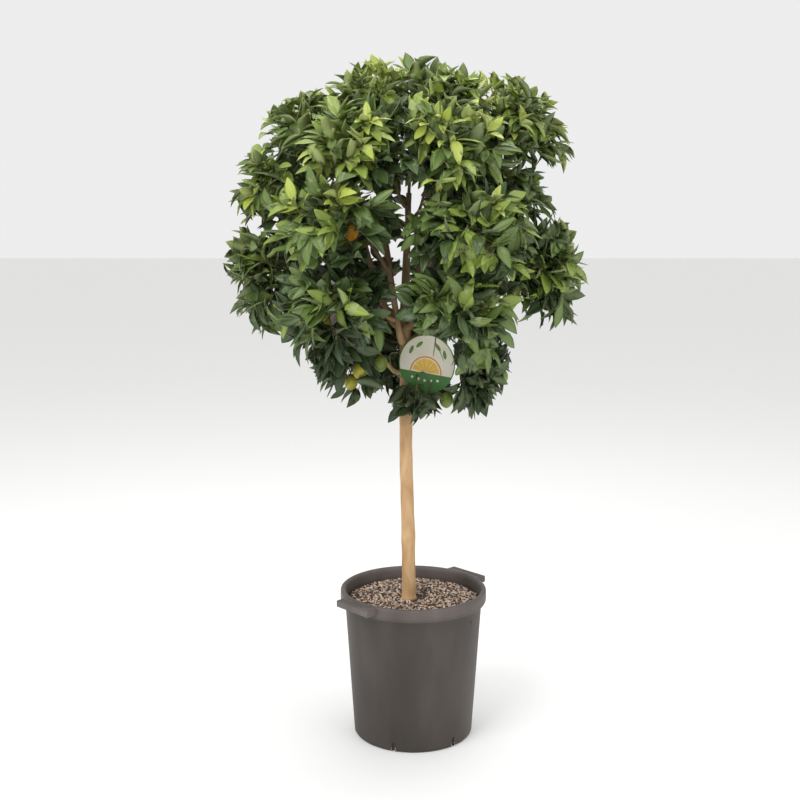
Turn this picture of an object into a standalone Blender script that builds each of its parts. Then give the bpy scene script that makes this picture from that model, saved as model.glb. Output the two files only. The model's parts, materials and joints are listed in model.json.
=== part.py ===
# Potted limequat tree, grown as a standard: pot, soil, trunk, boughs and masses of foliage.
# Metres, +Z up. The origin is the centre of the pot's flat underside, and -Y is the front.

import math
import random

import bmesh
import bpy
from mathutils import Matrix, Vector
from mathutils.bvhtree import BVHTree

up = Vector((0.0, 0.0, 1.0))
seatGap = 0.0003

# Pot: a nursery container with a thick rim, two handles and drain notches
potBaseRadius = 0.1465
potNeckRadius = 0.1685
potNeckHeight = 0.337
potHeight = 0.369
potRimRadius = 0.180
potWall = 0.003
potFloor = 0.004
potSteps = 36
handleBearing = 43
handleReach = 0.2015
handleLength = 0.112
handleTop = 0.366
handleDepth = 0.016
handleWall = 0.003
gripInner, pocketInner = 0.1700, 0.1722
notchCount = 6
notchFirstBearing = 310.5
notchWidth = 0.010
notchHeight = 0.024
notchInset = 0.012

# Soil: a shallow mound of coarse mulch with a flat hollow round the trunk
soilHollow = 0.338
soilCrown = 0.343
soilEdge = 0.337
hollowRadius = 0.034

# Trunk: clear stem up to the fork, leaning a little to the left
trunkFoot = Vector((-0.011, 0.0, soilHollow + seatGap))
trunkTop = Vector((-0.022, 0.004, 1.040))
trunkFootRadius = 0.0172
trunkTopRadius = 0.0140
trunkFlare = 0.0035
trunkFlareHeight = 0.016
trunkSway = 0.0016
leaderTop = Vector((-0.012, 0.022, 1.330))
leaderRadius = 0.0105
leaderTipRadius = 0.0058

# Boughs: radius at the foot and at the tip of each kind
scaffoldRadius, scaffoldTipRadius = 0.0092, 0.0050
branchRadius, branchTipRadius = 0.0060, 0.0040
crestRadius, crestTipRadius = 0.0045, 0.0035
scaffoldSpring, branchSpring = 0.06, 0.12
kneeLength = 0.008
limbPoints = 4

# The crown is six sectors round the leader. A scaffold bough leaves the trunk's head toward each
# sector and ends in its shoulder. Two branches on it carry the flank and the waist. For each mass:
# turn from the sector's bearing in degrees, reach from the crown's axis, height of its tip, and the
# height on the axis that it grows away from. A branch also has the height of its foot.
crownAxis = Vector((-0.020, 0.0, 0.0))
sectors = {
    "left": dict(bearing=180, fork=1.018, shoulder=(-4, 0.300, 1.535, 1.19),
                 flank=(4, 0.395, 1.385, 1.20, 1.215), waist=(5, 0.433, 1.136, 1.155, 1.120)),
    "front_left": dict(bearing=236, fork=0.984, shoulder=(4, 0.300, 1.500, 1.19),
                       flank=(0, 0.395, 1.290, 1.18, 1.160), waist=(-4, 0.380, 1.075, 1.085, 1.040)),
    "front_right": dict(bearing=298, fork=1.018, shoulder=(-4, 0.310, 1.490, 1.19),
                        flank=(3, 0.400, 1.265, 1.18, 1.165), waist=(-2, 0.380, 1.060, 1.085, 1.056)),
    "right": dict(bearing=0, fork=0.984, shoulder=(4, 0.323, 1.560, 1.19),
                  flank=(-5, 0.335, 1.372, 1.20, 1.190), waist=(0, 0.433, 1.155, 1.10, 1.060)),
    "back_right": dict(bearing=60, fork=1.018, shoulder=(3, 0.310, 1.510, 1.19),
                       flank=(-4, 0.400, 1.300, 1.18, 1.170), waist=(4, 0.390, 1.080, 1.085, 1.056)),
    "back_left": dict(bearing=121, fork=0.984, shoulder=(-3, 0.305, 1.500, 1.19),
                      flank=(4, 0.395, 1.280, 1.18, 1.155), waist=(0, 0.375, 1.065, 1.085, 1.040)),
}
massKinds = {
    "shoulder": dict(length=0.250, spread=0.170, middle=0.50, leaf=0.096),
    "flank": dict(length=0.250, spread=0.165, middle=0.50, leaf=0.096),
    "waist": dict(length=0.215, spread=0.150, middle=0.46, leaf=0.094),
    "crest": dict(length=0.250, spread=0.140, middle=0.50, leaf=0.094),
    "skirt": dict(length=0.165, spread=0.120, middle=0.40, leaf=0.082),
}

# Crest masses stand on the leader, and skirt masses hang from low boughs on the trunk.
# For each: bearing, reach, height of its tip, height it grows away from, and height of its foot.
crests = {
    "crest_left": (210, 0.134, 1.618, 1.300, 1.300),
    "crest_right": (338, 0.180, 1.600, 1.300, 1.275),
}
crestTip = Vector((0.009, 0.045, 1.650))
skirts = {
    "skirt_left": (194, 0.236, 0.925, 0.990, 0.905),
    "skirt_right": (346, 0.245, 0.866, 0.990, 0.925),
    "skirt_front": (350, 0.100, 0.817, 0.930, 0.888),
    "skirt_back": (97, 0.215, 0.880, 0.990, 0.900),
}

# Foliage: leaves larger than life, so that a few hundred give the crown its fullness. The leaf's
# width, fold, droop and keel are shares of its length.
leafWidth, leafFold, leafDroop, leafKeel, leafWidest = 0.43, 0.16, 0.10, 0.020, 0.42
leafToSky, leafToOutside = 0.55, 0.85
leafFirst, leafSpacing, leafApart, leafSunk = 0.014, 0.030, 0.037, 0.0006
leafTries, leavesOnStem = 5, 5
stemRadius, shootRadius, twigTipRadius, stalkRadius = 0.0040, 0.0026, 0.0018, 0.0018
shootsPerMass, shootShortest, shootLongest = 7, 0.020, 0.160
goldenAngle = math.radians(137.5)
crownHeart = Vector((-0.020, 0.0, 1.200))
cellMargin = 0.0006
touchMargin = 0.0030
fruitWidth, fruitLength = 0.033, 0.040

# Fruit that shows: the place of its middle
fruits = [
    (-0.140, -0.215, 1.243),
    (-0.127, -0.070, 0.917),
    (-0.079, -0.070, 0.936),
    (-0.150, -0.030, 0.885),
    (-0.208, 0.035, 1.022),
    (0.172, -0.110, 1.210),
    (0.170, -0.140, 1.085),
    (0.207, -0.040, 0.900),
    (0.078, -0.110, 0.842),
    (0.090, 0.230, 1.150),
]

# Labels: a round card held to the trunk by a thin strap, and a strip folded over a bough
cardRadius, cardThickness = 0.0705, 0.0012
cardTurn, cardTilt = math.radians(20), math.radians(7)
cardHeight, cardAlong = 0.929, 0.0596
strapHeight, strapDepth, strapThickness = 0.952, 0.005, 0.0008
stripWidth, stripLength, stripThickness = 0.026, 0.172, 0.0009
stripPlace, stripTilt, stripFold = 0.86, math.radians(7), 0.045


def removeEverything():
    for thing in list(bpy.data.objects):
        bpy.data.objects.remove(thing, do_unlink=True)


def makeCollection(name):
    collection = bpy.data.collections.new(name)
    bpy.context.scene.collection.children.link(collection)
    return collection


def makeMaterial(name, colour, roughness):
    material = bpy.data.materials.new(name)
    material.use_nodes = True
    shader = material.node_tree.nodes["Principled BSDF"]
    shader.inputs["Base Color"].default_value = (*colour, 1.0)
    shader.inputs["Roughness"].default_value = roughness
    shader.inputs["Metallic"].default_value = 0.0
    return material


removeEverything()
partsCollection = makeCollection("potted_limequat_tree")
cuttersCollection = makeCollection("cutters")
joiningCollection = makeCollection("joining")
materials = {
    "pot": makeMaterial("pot_plastic", (0.045, 0.036, 0.030), 0.62),
    "soil": makeMaterial("mulch", (0.250, 0.170, 0.115), 0.95),
    "bark": makeMaterial("bark", (0.440, 0.250, 0.115), 0.80),
    "leaf": makeMaterial("leaf", (0.090, 0.140, 0.030), 0.55),
    "card": makeMaterial("card", (0.830, 0.790, 0.690), 0.60),
    "strap": makeMaterial("strap", (0.100, 0.260, 0.090), 0.50),
    "strip": makeMaterial("strip", (0.860, 0.790, 0.700), 0.70),
}


def addObject(name, mesh, material, collection=None):
    thing = bpy.data.objects.new(name, mesh)
    (collection or partsCollection).objects.link(thing)
    if material is not None:
        thing.data.materials.clear()
        thing.data.materials.append(materials[material])
    return thing


def meshFrom(builder):
    shape = bmesh.new()
    builder(shape)
    mesh = bpy.data.meshes.new("shape")
    shape.to_mesh(mesh)
    shape.free()
    return mesh


def evaluatedMesh(thing):
    bpy.context.view_layer.update()
    graph = bpy.context.evaluated_depsgraph_get()
    return bpy.data.meshes.new_from_object(thing.evaluated_get(graph), depsgraph=graph)


def smoothRoundFaces(thing, degrees=35):
    thing.data.shade_smooth()
    thing.data.set_sharp_from_angle(angle=math.radians(degrees))


def turnedShape(name, profile, material, steps):
    mesh = bpy.data.meshes.new(name)
    mesh.from_pydata([(r, 0.0, z) for r, z in profile], [(i, i + 1) for i in range(len(profile) - 1)], [])
    thing = addObject(name, mesh, material)
    screw = thing.modifiers.new("turn", "SCREW")
    screw.steps = screw.render_steps = steps
    screw.use_merge_vertices = True
    screw.merge_threshold = 0.00005
    return thing


def boxMesh(size):
    scale = Matrix.Diagonal((*size, 1.0))
    return meshFrom(lambda shape: bmesh.ops.create_cube(shape, size=1.0, matrix=scale))


def addCutter(name, size, place, bearing):
    cutter = addObject(name, boxMesh(size), None, cuttersCollection)
    turn = Matrix.Rotation(math.radians(bearing), 4, "Z")
    cutter.matrix_world = turn @ Matrix.Translation(place)
    cutter.hide_render = True
    cutter.display_type = "WIRE"
    return cutter


def useBoolean(thing, other, operation):
    boolean = thing.modifiers.new(other.name, "BOOLEAN")
    boolean.operation = operation
    boolean.object = other
    boolean.solver = "EXACT"


def makePot():
    slope = (potNeckRadius - potBaseRadius) / potNeckHeight
    innerNeck = potNeckRadius - potWall
    profile = [
        (0.0, potFloor),
        (potBaseRadius + slope * potFloor - potWall, potFloor),
        (innerNeck, potNeckHeight),
        (innerNeck + 0.0010, potHeight - 0.004),
        (innerNeck + 0.0040, potHeight),
        (potRimRadius - 0.0040, potHeight),
        (potRimRadius, potHeight - 0.004),
        (potRimRadius, potNeckHeight + 0.006),
        (potRimRadius - 0.004, potNeckHeight + 0.001),
        (potNeckRadius + 0.0004, potNeckHeight),
        (potBaseRadius + 0.0002, 0.004),
        (potBaseRadius - 0.003, 0.0),
        (0.0, 0.0),
    ]
    pot = turnedShape("pot", profile, "pot", potSteps)
    gripMiddle = (gripInner + handleReach) / 2
    pocketOuter, pocketTop = handleReach - handleWall, handleTop - handleWall
    pocketMiddle = (pocketInner + pocketOuter) / 2
    for side, bearing in (("back", handleBearing), ("front", handleBearing + 180)):
        grip = addCutter(f"grip_{side}", (handleReach - gripInner, handleLength, handleDepth),
                         Vector((gripMiddle, 0.0, handleTop - handleDepth / 2)), bearing)
        useBoolean(pot, grip, "UNION")
        pocketSize = (pocketOuter - pocketInner, handleLength - 2 * handleWall, 0.040)
        pocket = addCutter(f"pocket_{side}", pocketSize,
                           Vector((pocketMiddle, 0.0, pocketTop - 0.020)), bearing)
        useBoolean(pot, pocket, "DIFFERENCE")
    for number in range(notchCount):
        bearing = notchFirstBearing + number * 360 / notchCount
        notch = addCutter(f"notch_{number}", (2 * notchInset, notchWidth, 2 * notchHeight),
                          Vector((potBaseRadius, 0.0, 0.0)), bearing)
        useBoolean(pot, notch, "DIFFERENCE")
    smoothRoundFaces(pot)
    return pot


def makeSoil():
    slope = (potNeckRadius - potBaseRadius) / potNeckHeight
    bottom = potFloor + seatGap
    wall = potWall + seatGap
    profile = [
        (0.0, soilHollow),
        (hollowRadius, soilHollow),
        (0.070, soilCrown),
        (0.120, soilCrown - 0.001),
        (potBaseRadius + slope * soilEdge - wall, soilEdge),
        (potBaseRadius + slope * bottom - wall, bottom),
        (0.0, bottom),
    ]
    soil = turnedShape("soil", profile, "soil", potSteps)
    smoothRoundFaces(soil)
    return soil


def makeLimb(name, points, radii, sides):
    curve = bpy.data.curves.new(name, "CURVE")
    curve.dimensions = "3D"
    curve.bevel_depth = 1.0
    curve.bevel_resolution = (sides - 4) // 2
    curve.use_fill_caps = True
    spline = curve.splines.new("POLY")
    spline.points.add(len(points) - 1)
    for target, place, radius in zip(spline.points, points, radii):
        target.co = (*place, 1.0)
        target.radius = radius
    guide = bpy.data.objects.new(name + "_path", curve)
    joiningCollection.objects.link(guide)
    mesh = evaluatedMesh(guide)
    bpy.data.objects.remove(guide, do_unlink=True)
    shape = bmesh.new()
    shape.from_mesh(mesh)
    bmesh.ops.remove_doubles(shape, verts=shape.verts, dist=0.00001)
    bmesh.ops.recalc_face_normals(shape, faces=shape.faces)
    shape.to_mesh(mesh)
    shape.free()
    limb = addObject(name, mesh, "bark")
    smoothRoundFaces(limb, 50)
    return limb


def surfaceTree(thing):
    shape = bmesh.new()
    shape.from_mesh(evaluatedMesh(thing))
    shape.transform(thing.matrix_world)
    tree = BVHTree.FromBMesh(shape)
    shape.free()
    return tree


def placeAtHeight(points, height):
    # the place on a rising path at a height, and the path's direction there
    lower, upper = next(pair for pair in zip(points, points[1:]) if pair[1].z > height)
    return lower.lerp(upper, (height - lower.z) / (upper.z - lower.z)), (upper - lower).normalized()


def trunkAt(height):
    # centre and radius of the trunk at a height above the ground
    above = height - trunkFoot.z
    share = above / (trunkTop.z - trunkFoot.z)
    sway = math.sin(share * math.tau * 1.5) * math.sin(share * math.pi) * trunkSway
    flare = trunkFlare * max(0.0, 1.0 - above / trunkFlareHeight) ** 2
    radius = trunkFootRadius + (trunkTopRadius - trunkFootRadius) * share + flare
    return trunkFoot.lerp(trunkTop, share) + Vector((sway, -sway, 0.0)), radius


def makeTrunk():
    # both ends are cut level
    steps = [0.0, trunkFlareHeight * 0.5, trunkFlareHeight]
    steps += [0.07 + 0.095 * step for step in range(7)]
    steps += [trunkTop.z - trunkFoot.z - 0.006, trunkTop.z - trunkFoot.z]
    rings = [trunkAt(trunkFoot.z + step) for step in steps]
    points, radii = [place for place, _ in rings], [radius for _, radius in rings]
    points[1].xy = points[0].xy
    points[-1].xy = points[-2].xy
    return makeLimb("trunk", points, radii, 12)


def crownPoint(bearing, reach, height):
    angle = math.radians(bearing)
    return crownAxis + Vector((reach * math.cos(angle), reach * math.sin(angle), height))


def bentPath(foot, outward, end, spring):
    # leaves its seat square to it, then bends evenly toward the end
    knee = foot + outward * kneeLength
    control = knee + outward * (end - knee).length * spring
    points = [foot]
    for step in range(limbPoints):
        share = step / (limbPoints - 1)
        points.append(knee.lerp(control, share).lerp(control.lerp(end, share), share))
    return points


def growLimb(name, parentTree, near, along, end, radius, tipRadius, spring):
    # the foot is found on the side of the parent that faces the end, and meets it across the seat gap
    aim = end - near
    probe = near + (aim - along * aim.dot(along)).normalized() * 0.03
    seat, outward, _, _ = parentTree.find_nearest(probe)
    points = bentPath(seat + outward * seatGap, outward, end, spring)
    radii = [radius + (tipRadius - radius) * i / (len(points) - 1) for i in range(len(points))]
    limb = makeLimb(name, points, radii, 6)
    return limb, points


def pointAt(points, share):
    place = share * (len(points) - 1)
    step = min(int(place), len(points) - 2)
    return points[step].lerp(points[step + 1], place - step)


def makeStrap():
    # a flat band round the trunk, which holds the card to it
    centre, radius = trunkAt(strapHeight)
    inner = radius + 0.0004
    outer, half = inner + strapThickness, strapDepth / 2
    corners = [(inner, half), (outer, half), (outer, -half), (inner, -half)]
    mesh = bpy.data.meshes.new("label_strap")
    mesh.from_pydata([(r, 0.0, z) for r, z in corners], [(i, (i + 1) % 4) for i in range(4)], [])
    strap = addObject("label_strap", mesh, "strap")
    strap.location = centre
    screw = strap.modifiers.new("turn", "SCREW")
    screw.steps = screw.render_steps = 20
    screw.use_merge_vertices = True
    screw.merge_threshold = 0.00005
    return strap, outer


def makeCard(strapOuter):
    # a round card standing against the strap, its right side turned toward the front
    def build(shape):
        bmesh.ops.create_cone(shape, cap_ends=True, cap_tris=False, segments=28, radius1=cardRadius,
                              radius2=cardRadius, depth=cardThickness)
    facing = Vector((-math.sin(cardTurn), -math.cos(cardTurn), 0.0))
    along = Vector((math.cos(cardTurn), -math.sin(cardTurn), 0.0))
    centre, _ = trunkAt(strapHeight)
    place = centre + facing * (strapOuter + seatGap + cardThickness / 2) + along * cardAlong
    place.z = cardHeight
    card = addObject("label_card", meshFrom(build), "card")
    turn = Matrix((along, Vector((0, 0, 1)), facing)).transposed().to_4x4()
    card.matrix_world = Matrix.Translation(place) @ turn @ Matrix.Rotation(-cardTilt, 4, "Z")
    return card


def makeStrip(points):
    # a paper strip folded over the bough: the front end hangs long, the back end short
    bough = pointAt(points, stripPlace)
    along = pointAt(points, stripPlace + 0.1) - bough
    slope = math.atan2(-along.z, along.xy.length) - stripTilt
    bend = (branchTipRadius + 0.0006) / math.cos(slope) + abs(math.tan(slope)) * stripWidth / 2
    bend += seatGap + stripThickness / 2
    path = [(-bend, -stripLength)]
    path += [(-bend * math.cos(turn), bend * math.sin(turn)) for turn in (math.pi * i / 6 for i in range(7))]
    path += [(bend, -0.012), (-bend + 0.0030, -stripFold)]
    shape = bmesh.new()
    line = [shape.verts.new((-stripWidth / 2, y, z)) for y, z in path]
    edges = [shape.edges.new(pair) for pair in zip(line, line[1:])]
    side = bmesh.ops.extrude_edge_only(shape, edges=edges)["geom"]
    moved = [item for item in side if isinstance(item, bmesh.types.BMVert)]
    bmesh.ops.translate(shape, verts=moved, vec=(stripWidth, 0.0, 0.0))
    mesh = bpy.data.meshes.new("label_strip")
    shape.to_mesh(mesh)
    shape.free()
    strip = addObject("label_strip", mesh, "strip")
    solid = strip.modifiers.new("thickness", "SOLIDIFY")
    solid.thickness = stripThickness
    solid.offset = 0.0
    heading = math.atan2(-along.y, -along.x)
    strip.matrix_world = (Matrix.Translation(bough) @ Matrix.Rotation(heading, 4, "Z")
                          @ Matrix.Rotation(-stripTilt, 4, "Y"))
    return strip


class Mass:
    # one mass of foliage: it grows from start to tip inside an ellipsoid and its own cell
    def __init__(self, name, kind, tip, heart, start=None):
        size = massKinds[kind]
        away = tip - Vector((crownAxis.x, crownAxis.y, heart))
        self.name = name
        self.leaf = size["leaf"]
        self.tip = tip
        self.start = start or tip - away.normalized() * min(size["length"], away.length * 0.75)
        self.length = (tip - self.start).length
        self.axis = (tip - self.start).normalized()
        self.middle = self.start + self.axis * self.length * size["middle"]
        self.halfLength = (tip - self.middle).length
        self.spread = size["spread"]
        self.outward = self.axis
        self.cell = []
        self.pieces = []
        self.fruits = []
        self.points = []
        self.stems = []

    def holds(self, point, spare=0.0):
        # inside the ellipsoid, and on this side of every plane that parts it from another mass
        offset = point - self.middle
        along = offset.dot(self.axis) / self.halfLength
        across = (offset - self.axis * offset.dot(self.axis)).length / self.spread
        if along * along + across * across > 1.0:
            return False
        return self.inCell(point, spare)

    def inCell(self, point, spare=0.0):
        return all((point - place).dot(normal) < -cellMargin - spare for place, normal in self.cell)


def planMasses():
    masses = {}
    for sector, plan in sectors.items():
        for kind in ("shoulder", "flank", "waist"):
            turn, reach, height, heart = plan[kind][:4]
            name = f"{sector}_{kind}"
            masses[name] = Mass(name, kind, crownPoint(plan["bearing"] + turn, reach, height), heart)
    for name, (bearing, reach, height, heart, _) in crests.items():
        masses[name] = Mass(name, "crest", crownPoint(bearing, reach, height), heart)
    masses["crest"] = Mass("crest", "crest", crestTip, leaderTop.z, leaderTop + Vector((0.0, 0.0, seatGap)))
    for name, (bearing, reach, height, heart, _) in skirts.items():
        masses[name] = Mass(name, "skirt", crownPoint(bearing, reach, height), heart)
    for mass in masses.values():
        for other in masses.values():
            if other is not mass:
                between = other.middle - mass.middle
                mass.cell.append((mass.middle + between / 2, between.normalized()))
    for mass in masses.values():
        while mass.name != "crest" and not mass.inCell(mass.start, 0.006):
            mass.start = mass.start.lerp(mass.middle, 0.1)
    return masses


def leafMesh():
    # a blade drawn out from a three-sided ball: base, tip, two edges and a keel along the midrib
    shape = bmesh.new()
    bmesh.ops.create_uvsphere(shape, u_segments=3, v_segments=2, radius=1.0)
    edge = leafWidth / 2 / math.cos(math.radians(30))
    for vertex in shape.verts:
        x, y, z = vertex.co
        if abs(z) > 0.5:
            vertex.co = Vector((0.0, 0.0, 0.0)) if z < 0 else Vector((1.0, 0.0, -leafDroop))
        else:
            vertex.co = Vector((leafWidest, -x * edge, leafFold * leafWidth / 2 if y < 0 else -leafKeel))
    mesh = bpy.data.meshes.new("leaf")
    shape.to_mesh(mesh)
    shape.free()
    return mesh


def fruitMesh():
    def build(shape):
        size = Matrix.Diagonal((fruitWidth / 2, fruitWidth / 2, fruitLength / 2, 1.0))
        bmesh.ops.create_uvsphere(shape, u_segments=6, v_segments=4, radius=1.0, matrix=size)
    return meshFrom(build)


def twigMesh(length, radius, tipRadius):
    def build(shape):
        bmesh.ops.create_cone(shape, cap_ends=True, cap_tris=False, segments=3, radius1=radius,
                              radius2=tipRadius, depth=length, matrix=Matrix.Translation((0, 0, length / 2)))
    return meshFrom(build)


def frameAlong(place, forward, up):
    # X along the piece and Z as near to up as it can be
    x = forward.normalized()
    y = up.cross(x).normalized()
    z = x.cross(y)
    turn = Matrix((x, y, z)).transposed().to_4x4()
    turn.translation = place
    return turn


def pieceTree(mesh, matrix):
    places = [matrix @ vertex.co for vertex in mesh.vertices]
    return BVHTree.FromPolygons(places, [tuple(face.vertices) for face in mesh.polygons])


def addPiece(mass, mesh, matrix):
    piece = bpy.data.objects.new("piece", mesh)
    piece.matrix_world = matrix
    joiningCollection.objects.link(piece)
    mass.pieces.append((piece, pieceTree(mesh, matrix)))
    return piece


def meetsAny(tree, mass, carriers):
    if any(tree.overlap(obstacle) for obstacle in obstacles):
        return True
    return any(tree.overlap(other) for piece, other in mass.pieces if piece not in carriers)


def addTwig(mass, start, end, radius, tipRadius, carriers=None, roll=0.0):
    # a three-sided twig; one with carriers is first tested a little fatter than it is made
    forward = end - start
    turn = forward.to_track_quat("Z", "Y").to_matrix().to_4x4() @ Matrix.Rotation(roll, 4, "Z")
    turn.translation = start
    if carriers is not None:
        guard = twigMesh(forward.length + touchMargin, radius + touchMargin, tipRadius + touchMargin)
        if meetsAny(pieceTree(guard, turn), mass, carriers):
            return None
    return addPiece(mass, twigMesh(forward.length, radius, tipRadius), turn)


def growStem(mass):
    # from its seat square to the bough's tip, then toward the tip of the mass
    end = mass.tip - mass.axis * mass.leaf * 0.93
    knee = mass.start + mass.outward * (end - mass.start).length * 0.30
    bend = knee.lerp(end, 0.5) + mass.outward * (end - mass.start).length * 0.05
    mass.points = [mass.start, knee, bend, end]
    for step, (lower, upper) in enumerate(zip(mass.points, mass.points[1:])):
        radius = stemRadius + (shootRadius - stemRadius) * step / 3
        tipRadius = stemRadius + (shootRadius - stemRadius) * (step + 1) / 3
        beyond = (upper - lower).normalized() * tipRadius * 0.5
        mass.stems.append(addTwig(mass, lower, upper + beyond, radius, tipRadius))


def leafFits(mass, matrix, carriers):
    for vertex in leafShape.vertices:
        place = matrix @ vertex.co
        if not mass.holds(mass.middle.lerp(place, 0.95)) or not mass.inCell(place):
            return False
    lift = matrix.col[2].to_3d().normalized() * touchMargin / 2
    guards = [Matrix.Translation(lift * side) @ matrix for side in (-1.0, 0.0, 1.0)]
    return not any(meetsAny(pieceTree(leafShape, guard), mass, carriers) for guard in guards)


def addLeaf(mass, place, forward, size, carriers, dice, steady=False):
    # tries a few ways to hold the leaf, and leaves it out if it finds no room
    away = (place - crownHeart).normalized()
    for attempt in range(leafTries):
        loose = 0.4 * attempt if steady else 0.5 + 0.4 * attempt
        lean = Vector([dice.uniform(-0.35, 0.35) for _ in range(3)]) * loose
        facing = (up * leafToSky + away * leafToOutside + lean * 1.5).normalized()
        direction = (forward + lean).normalized()
        if steady:
            direction = (direction + facing * leafDroop).normalized()
        fitted = size * (1.0 - 0.06 * attempt)
        matrix = frameAlong(place - direction * leafSunk, direction, facing) @ Matrix.Scale(fitted, 4)
        centre = matrix @ Vector((leafWidest, 0.0, 0.0))
        if any((centre - other).length < leafApart for other in leafCentres):
            continue
        if leafFits(mass, matrix, carriers):
            addPiece(mass, leafShape, matrix)
            leafCentres.append(centre)
            return


def addLeavesAlong(mass, start, end, carrier, dice):
    # leaves in a spiral along the shoot, with one at its end
    forward = (end - start).normalized()
    side = forward.orthogonal().normalized()
    length = (end - start).length
    turn = dice.uniform(0, math.tau)
    count = max(1, round((length - leafFirst) / leafSpacing))
    for number in range(count):
        distance = leafFirst + (length - leafFirst - 0.006) * number / count
        around = Matrix.Rotation(turn + number * goldenAngle, 3, forward) @ side
        size = mass.leaf * dice.uniform(0.85, 1.05)
        addLeaf(mass, start + forward * distance, forward * 0.62 + around * 0.78, size, [carrier], dice)
    addLeaf(mass, end - forward * 0.003, forward, mass.leaf, [carrier], dice)


def reachInside(mass, start, direction):
    # how far a shoot can run before the leaf at its end would leave the mass's space
    reach = 0.0
    while reach < shootLongest and mass.holds(start + direction * (reach + mass.leaf * 0.72), 0.004):
        reach += 0.008
    return reach


def clearOfLimbs(spot):
    tree = pieceTree(fruitShape, Matrix.Translation(spot) @ Matrix.Scale(1.15, 4))
    return not any(tree.overlap(obstacle) for obstacle in obstacles)


def shareOutFruit():
    # each fruit belongs to the mass whose cell holds it, a little nearer or farther if it must
    for place in fruits:
        depths = sorted((0.006 * step for step in range(-24, 25)), key=abs)
        spots = [Vector(place) + Vector((0.0, depth, 0.0)) for depth in depths]
        homes = ((mass, spot) for spot in spots if clearOfLimbs(spot) for mass in masses.values()
                 if mass.inCell(spot, fruitLength * 0.51))
        mass, spot = next(homes, (None, None))
        if mass:
            mass.fruits.append(spot)


def hangFruit(mass, middle):
    # a short twig runs from the stem to above the fruit, and the fruit hangs from it
    top = middle + up * fruitLength * 0.44
    feet = [lower.lerp(upper, share / 4) for lower, upper in zip(mass.points, mass.points[1:])
            for share in range(1, 5)]
    for foot in sorted(feet, key=lambda foot: (foot - top - up * 0.03).length):
        elbow = foot.lerp(top, 0.6) + up * 0.012
        beyond = (elbow - foot).normalized() * stalkRadius
        arm = addTwig(mass, foot, elbow + beyond, stalkRadius * 1.1, stalkRadius, mass.stems)
        if not arm:
            continue
        stalk = addTwig(mass, elbow, top - up * 0.003, stalkRadius, stalkRadius * 0.9, mass.stems + [arm])
        if stalk:
            addPiece(mass, fruitShape, Matrix.Translation(middle))
            return
        mass.pieces.pop()
        bpy.data.objects.remove(arm, do_unlink=True)


def stemAt(mass, share):
    step = min(2, int(share * 3))
    return mass.points[step].lerp(mass.points[step + 1], share * 3 - step)


def growMass(mass):
    # the stem, its fruit, the leaf at its tip, shoots in a spiral, and leaves on the stem itself
    dice = random.Random("limequat " + mass.name)
    growStem(mass)
    for place in mass.fruits:
        hangFruit(mass, place)
    tipReach = (mass.tip - mass.points[-1]).length
    addLeaf(mass, mass.points[-1], mass.axis, tipReach, [mass.stems[-1]], dice, True)
    side = mass.axis.orthogonal().normalized()
    turn = dice.uniform(0, math.tau)
    for number in range(shootsPerMass):
        base = stemAt(mass, 0.08 + 0.86 * (number + 0.5) / shootsPerMass)
        for attempt in range(6):
            around = Matrix.Rotation(turn + number * goldenAngle + attempt * 0.5, 3, mass.axis) @ side
            direction = (mass.axis * 0.50 + around * 0.84 + up * 0.15).normalized()
            reach = reachInside(mass, base, direction)
            if reach < shootShortest:
                continue
            end = base + direction * reach
            shoot = addTwig(mass, base, end, shootRadius, twigTipRadius, mass.stems, dice.uniform(0, 2))
            if shoot:
                addLeavesAlong(mass, base, end, shoot, dice)
                break
    for number in range(leavesOnStem):
        around = Matrix.Rotation(turn + (number + 0.5) * goldenAngle, 3, mass.axis) @ side
        base = stemAt(mass, 0.10 + 0.80 * number / leavesOnStem)
        addLeaf(mass, base, mass.axis * 0.5 + around * 0.85, mass.leaf * 0.95, mass.stems, dice)


def joinMass(mass):
    # one union of the stem with everything that grows on it
    first = mass.pieces[0][0]
    base = bpy.data.objects.new("foliage_" + mass.name, first.data.copy())
    base.data.transform(first.matrix_world)
    bpy.data.objects.remove(first, do_unlink=True)
    partsCollection.objects.link(base)
    union = base.modifiers.new("join", "BOOLEAN")
    union.operation = "UNION"
    union.operand_type = "COLLECTION"
    union.collection = joiningCollection
    union.solver = "MANIFOLD"
    joined = evaluatedMesh(base)
    base.modifiers.clear()
    base.data = joined
    base.data.materials.clear()
    base.data.materials.append(materials["leaf"])
    for piece in list(joiningCollection.objects):
        bpy.data.objects.remove(piece, do_unlink=True)
    return base


def growLeader(foot):
    # the trunk goes on upward as a thinner limb, seated square on the trunk's level top
    points = [foot, foot + up * 0.012]
    points += [points[1].lerp(leaderTop, share / 4) for share in range(1, 5)]
    points[-2].xy = points[-1].xy
    radii = [leaderRadius + (leaderTipRadius - leaderRadius) * i / 5 for i in range(6)]
    return makeLimb("leader", points, radii, 10)


def addBough(name, parentTree, near, along, mass, radius, tipRadius, spring):
    # a bough that ends where it enters its mass, whose stem goes on in the same line
    limb, points = growLimb(name, parentTree, near, along, mass.start, radius, tipRadius, spring)
    mass.outward = (points[-1] - points[-2]).normalized()
    mass.start = mass.start + mass.outward * seatGap
    limbs.append(limb)
    return limb, points


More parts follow.
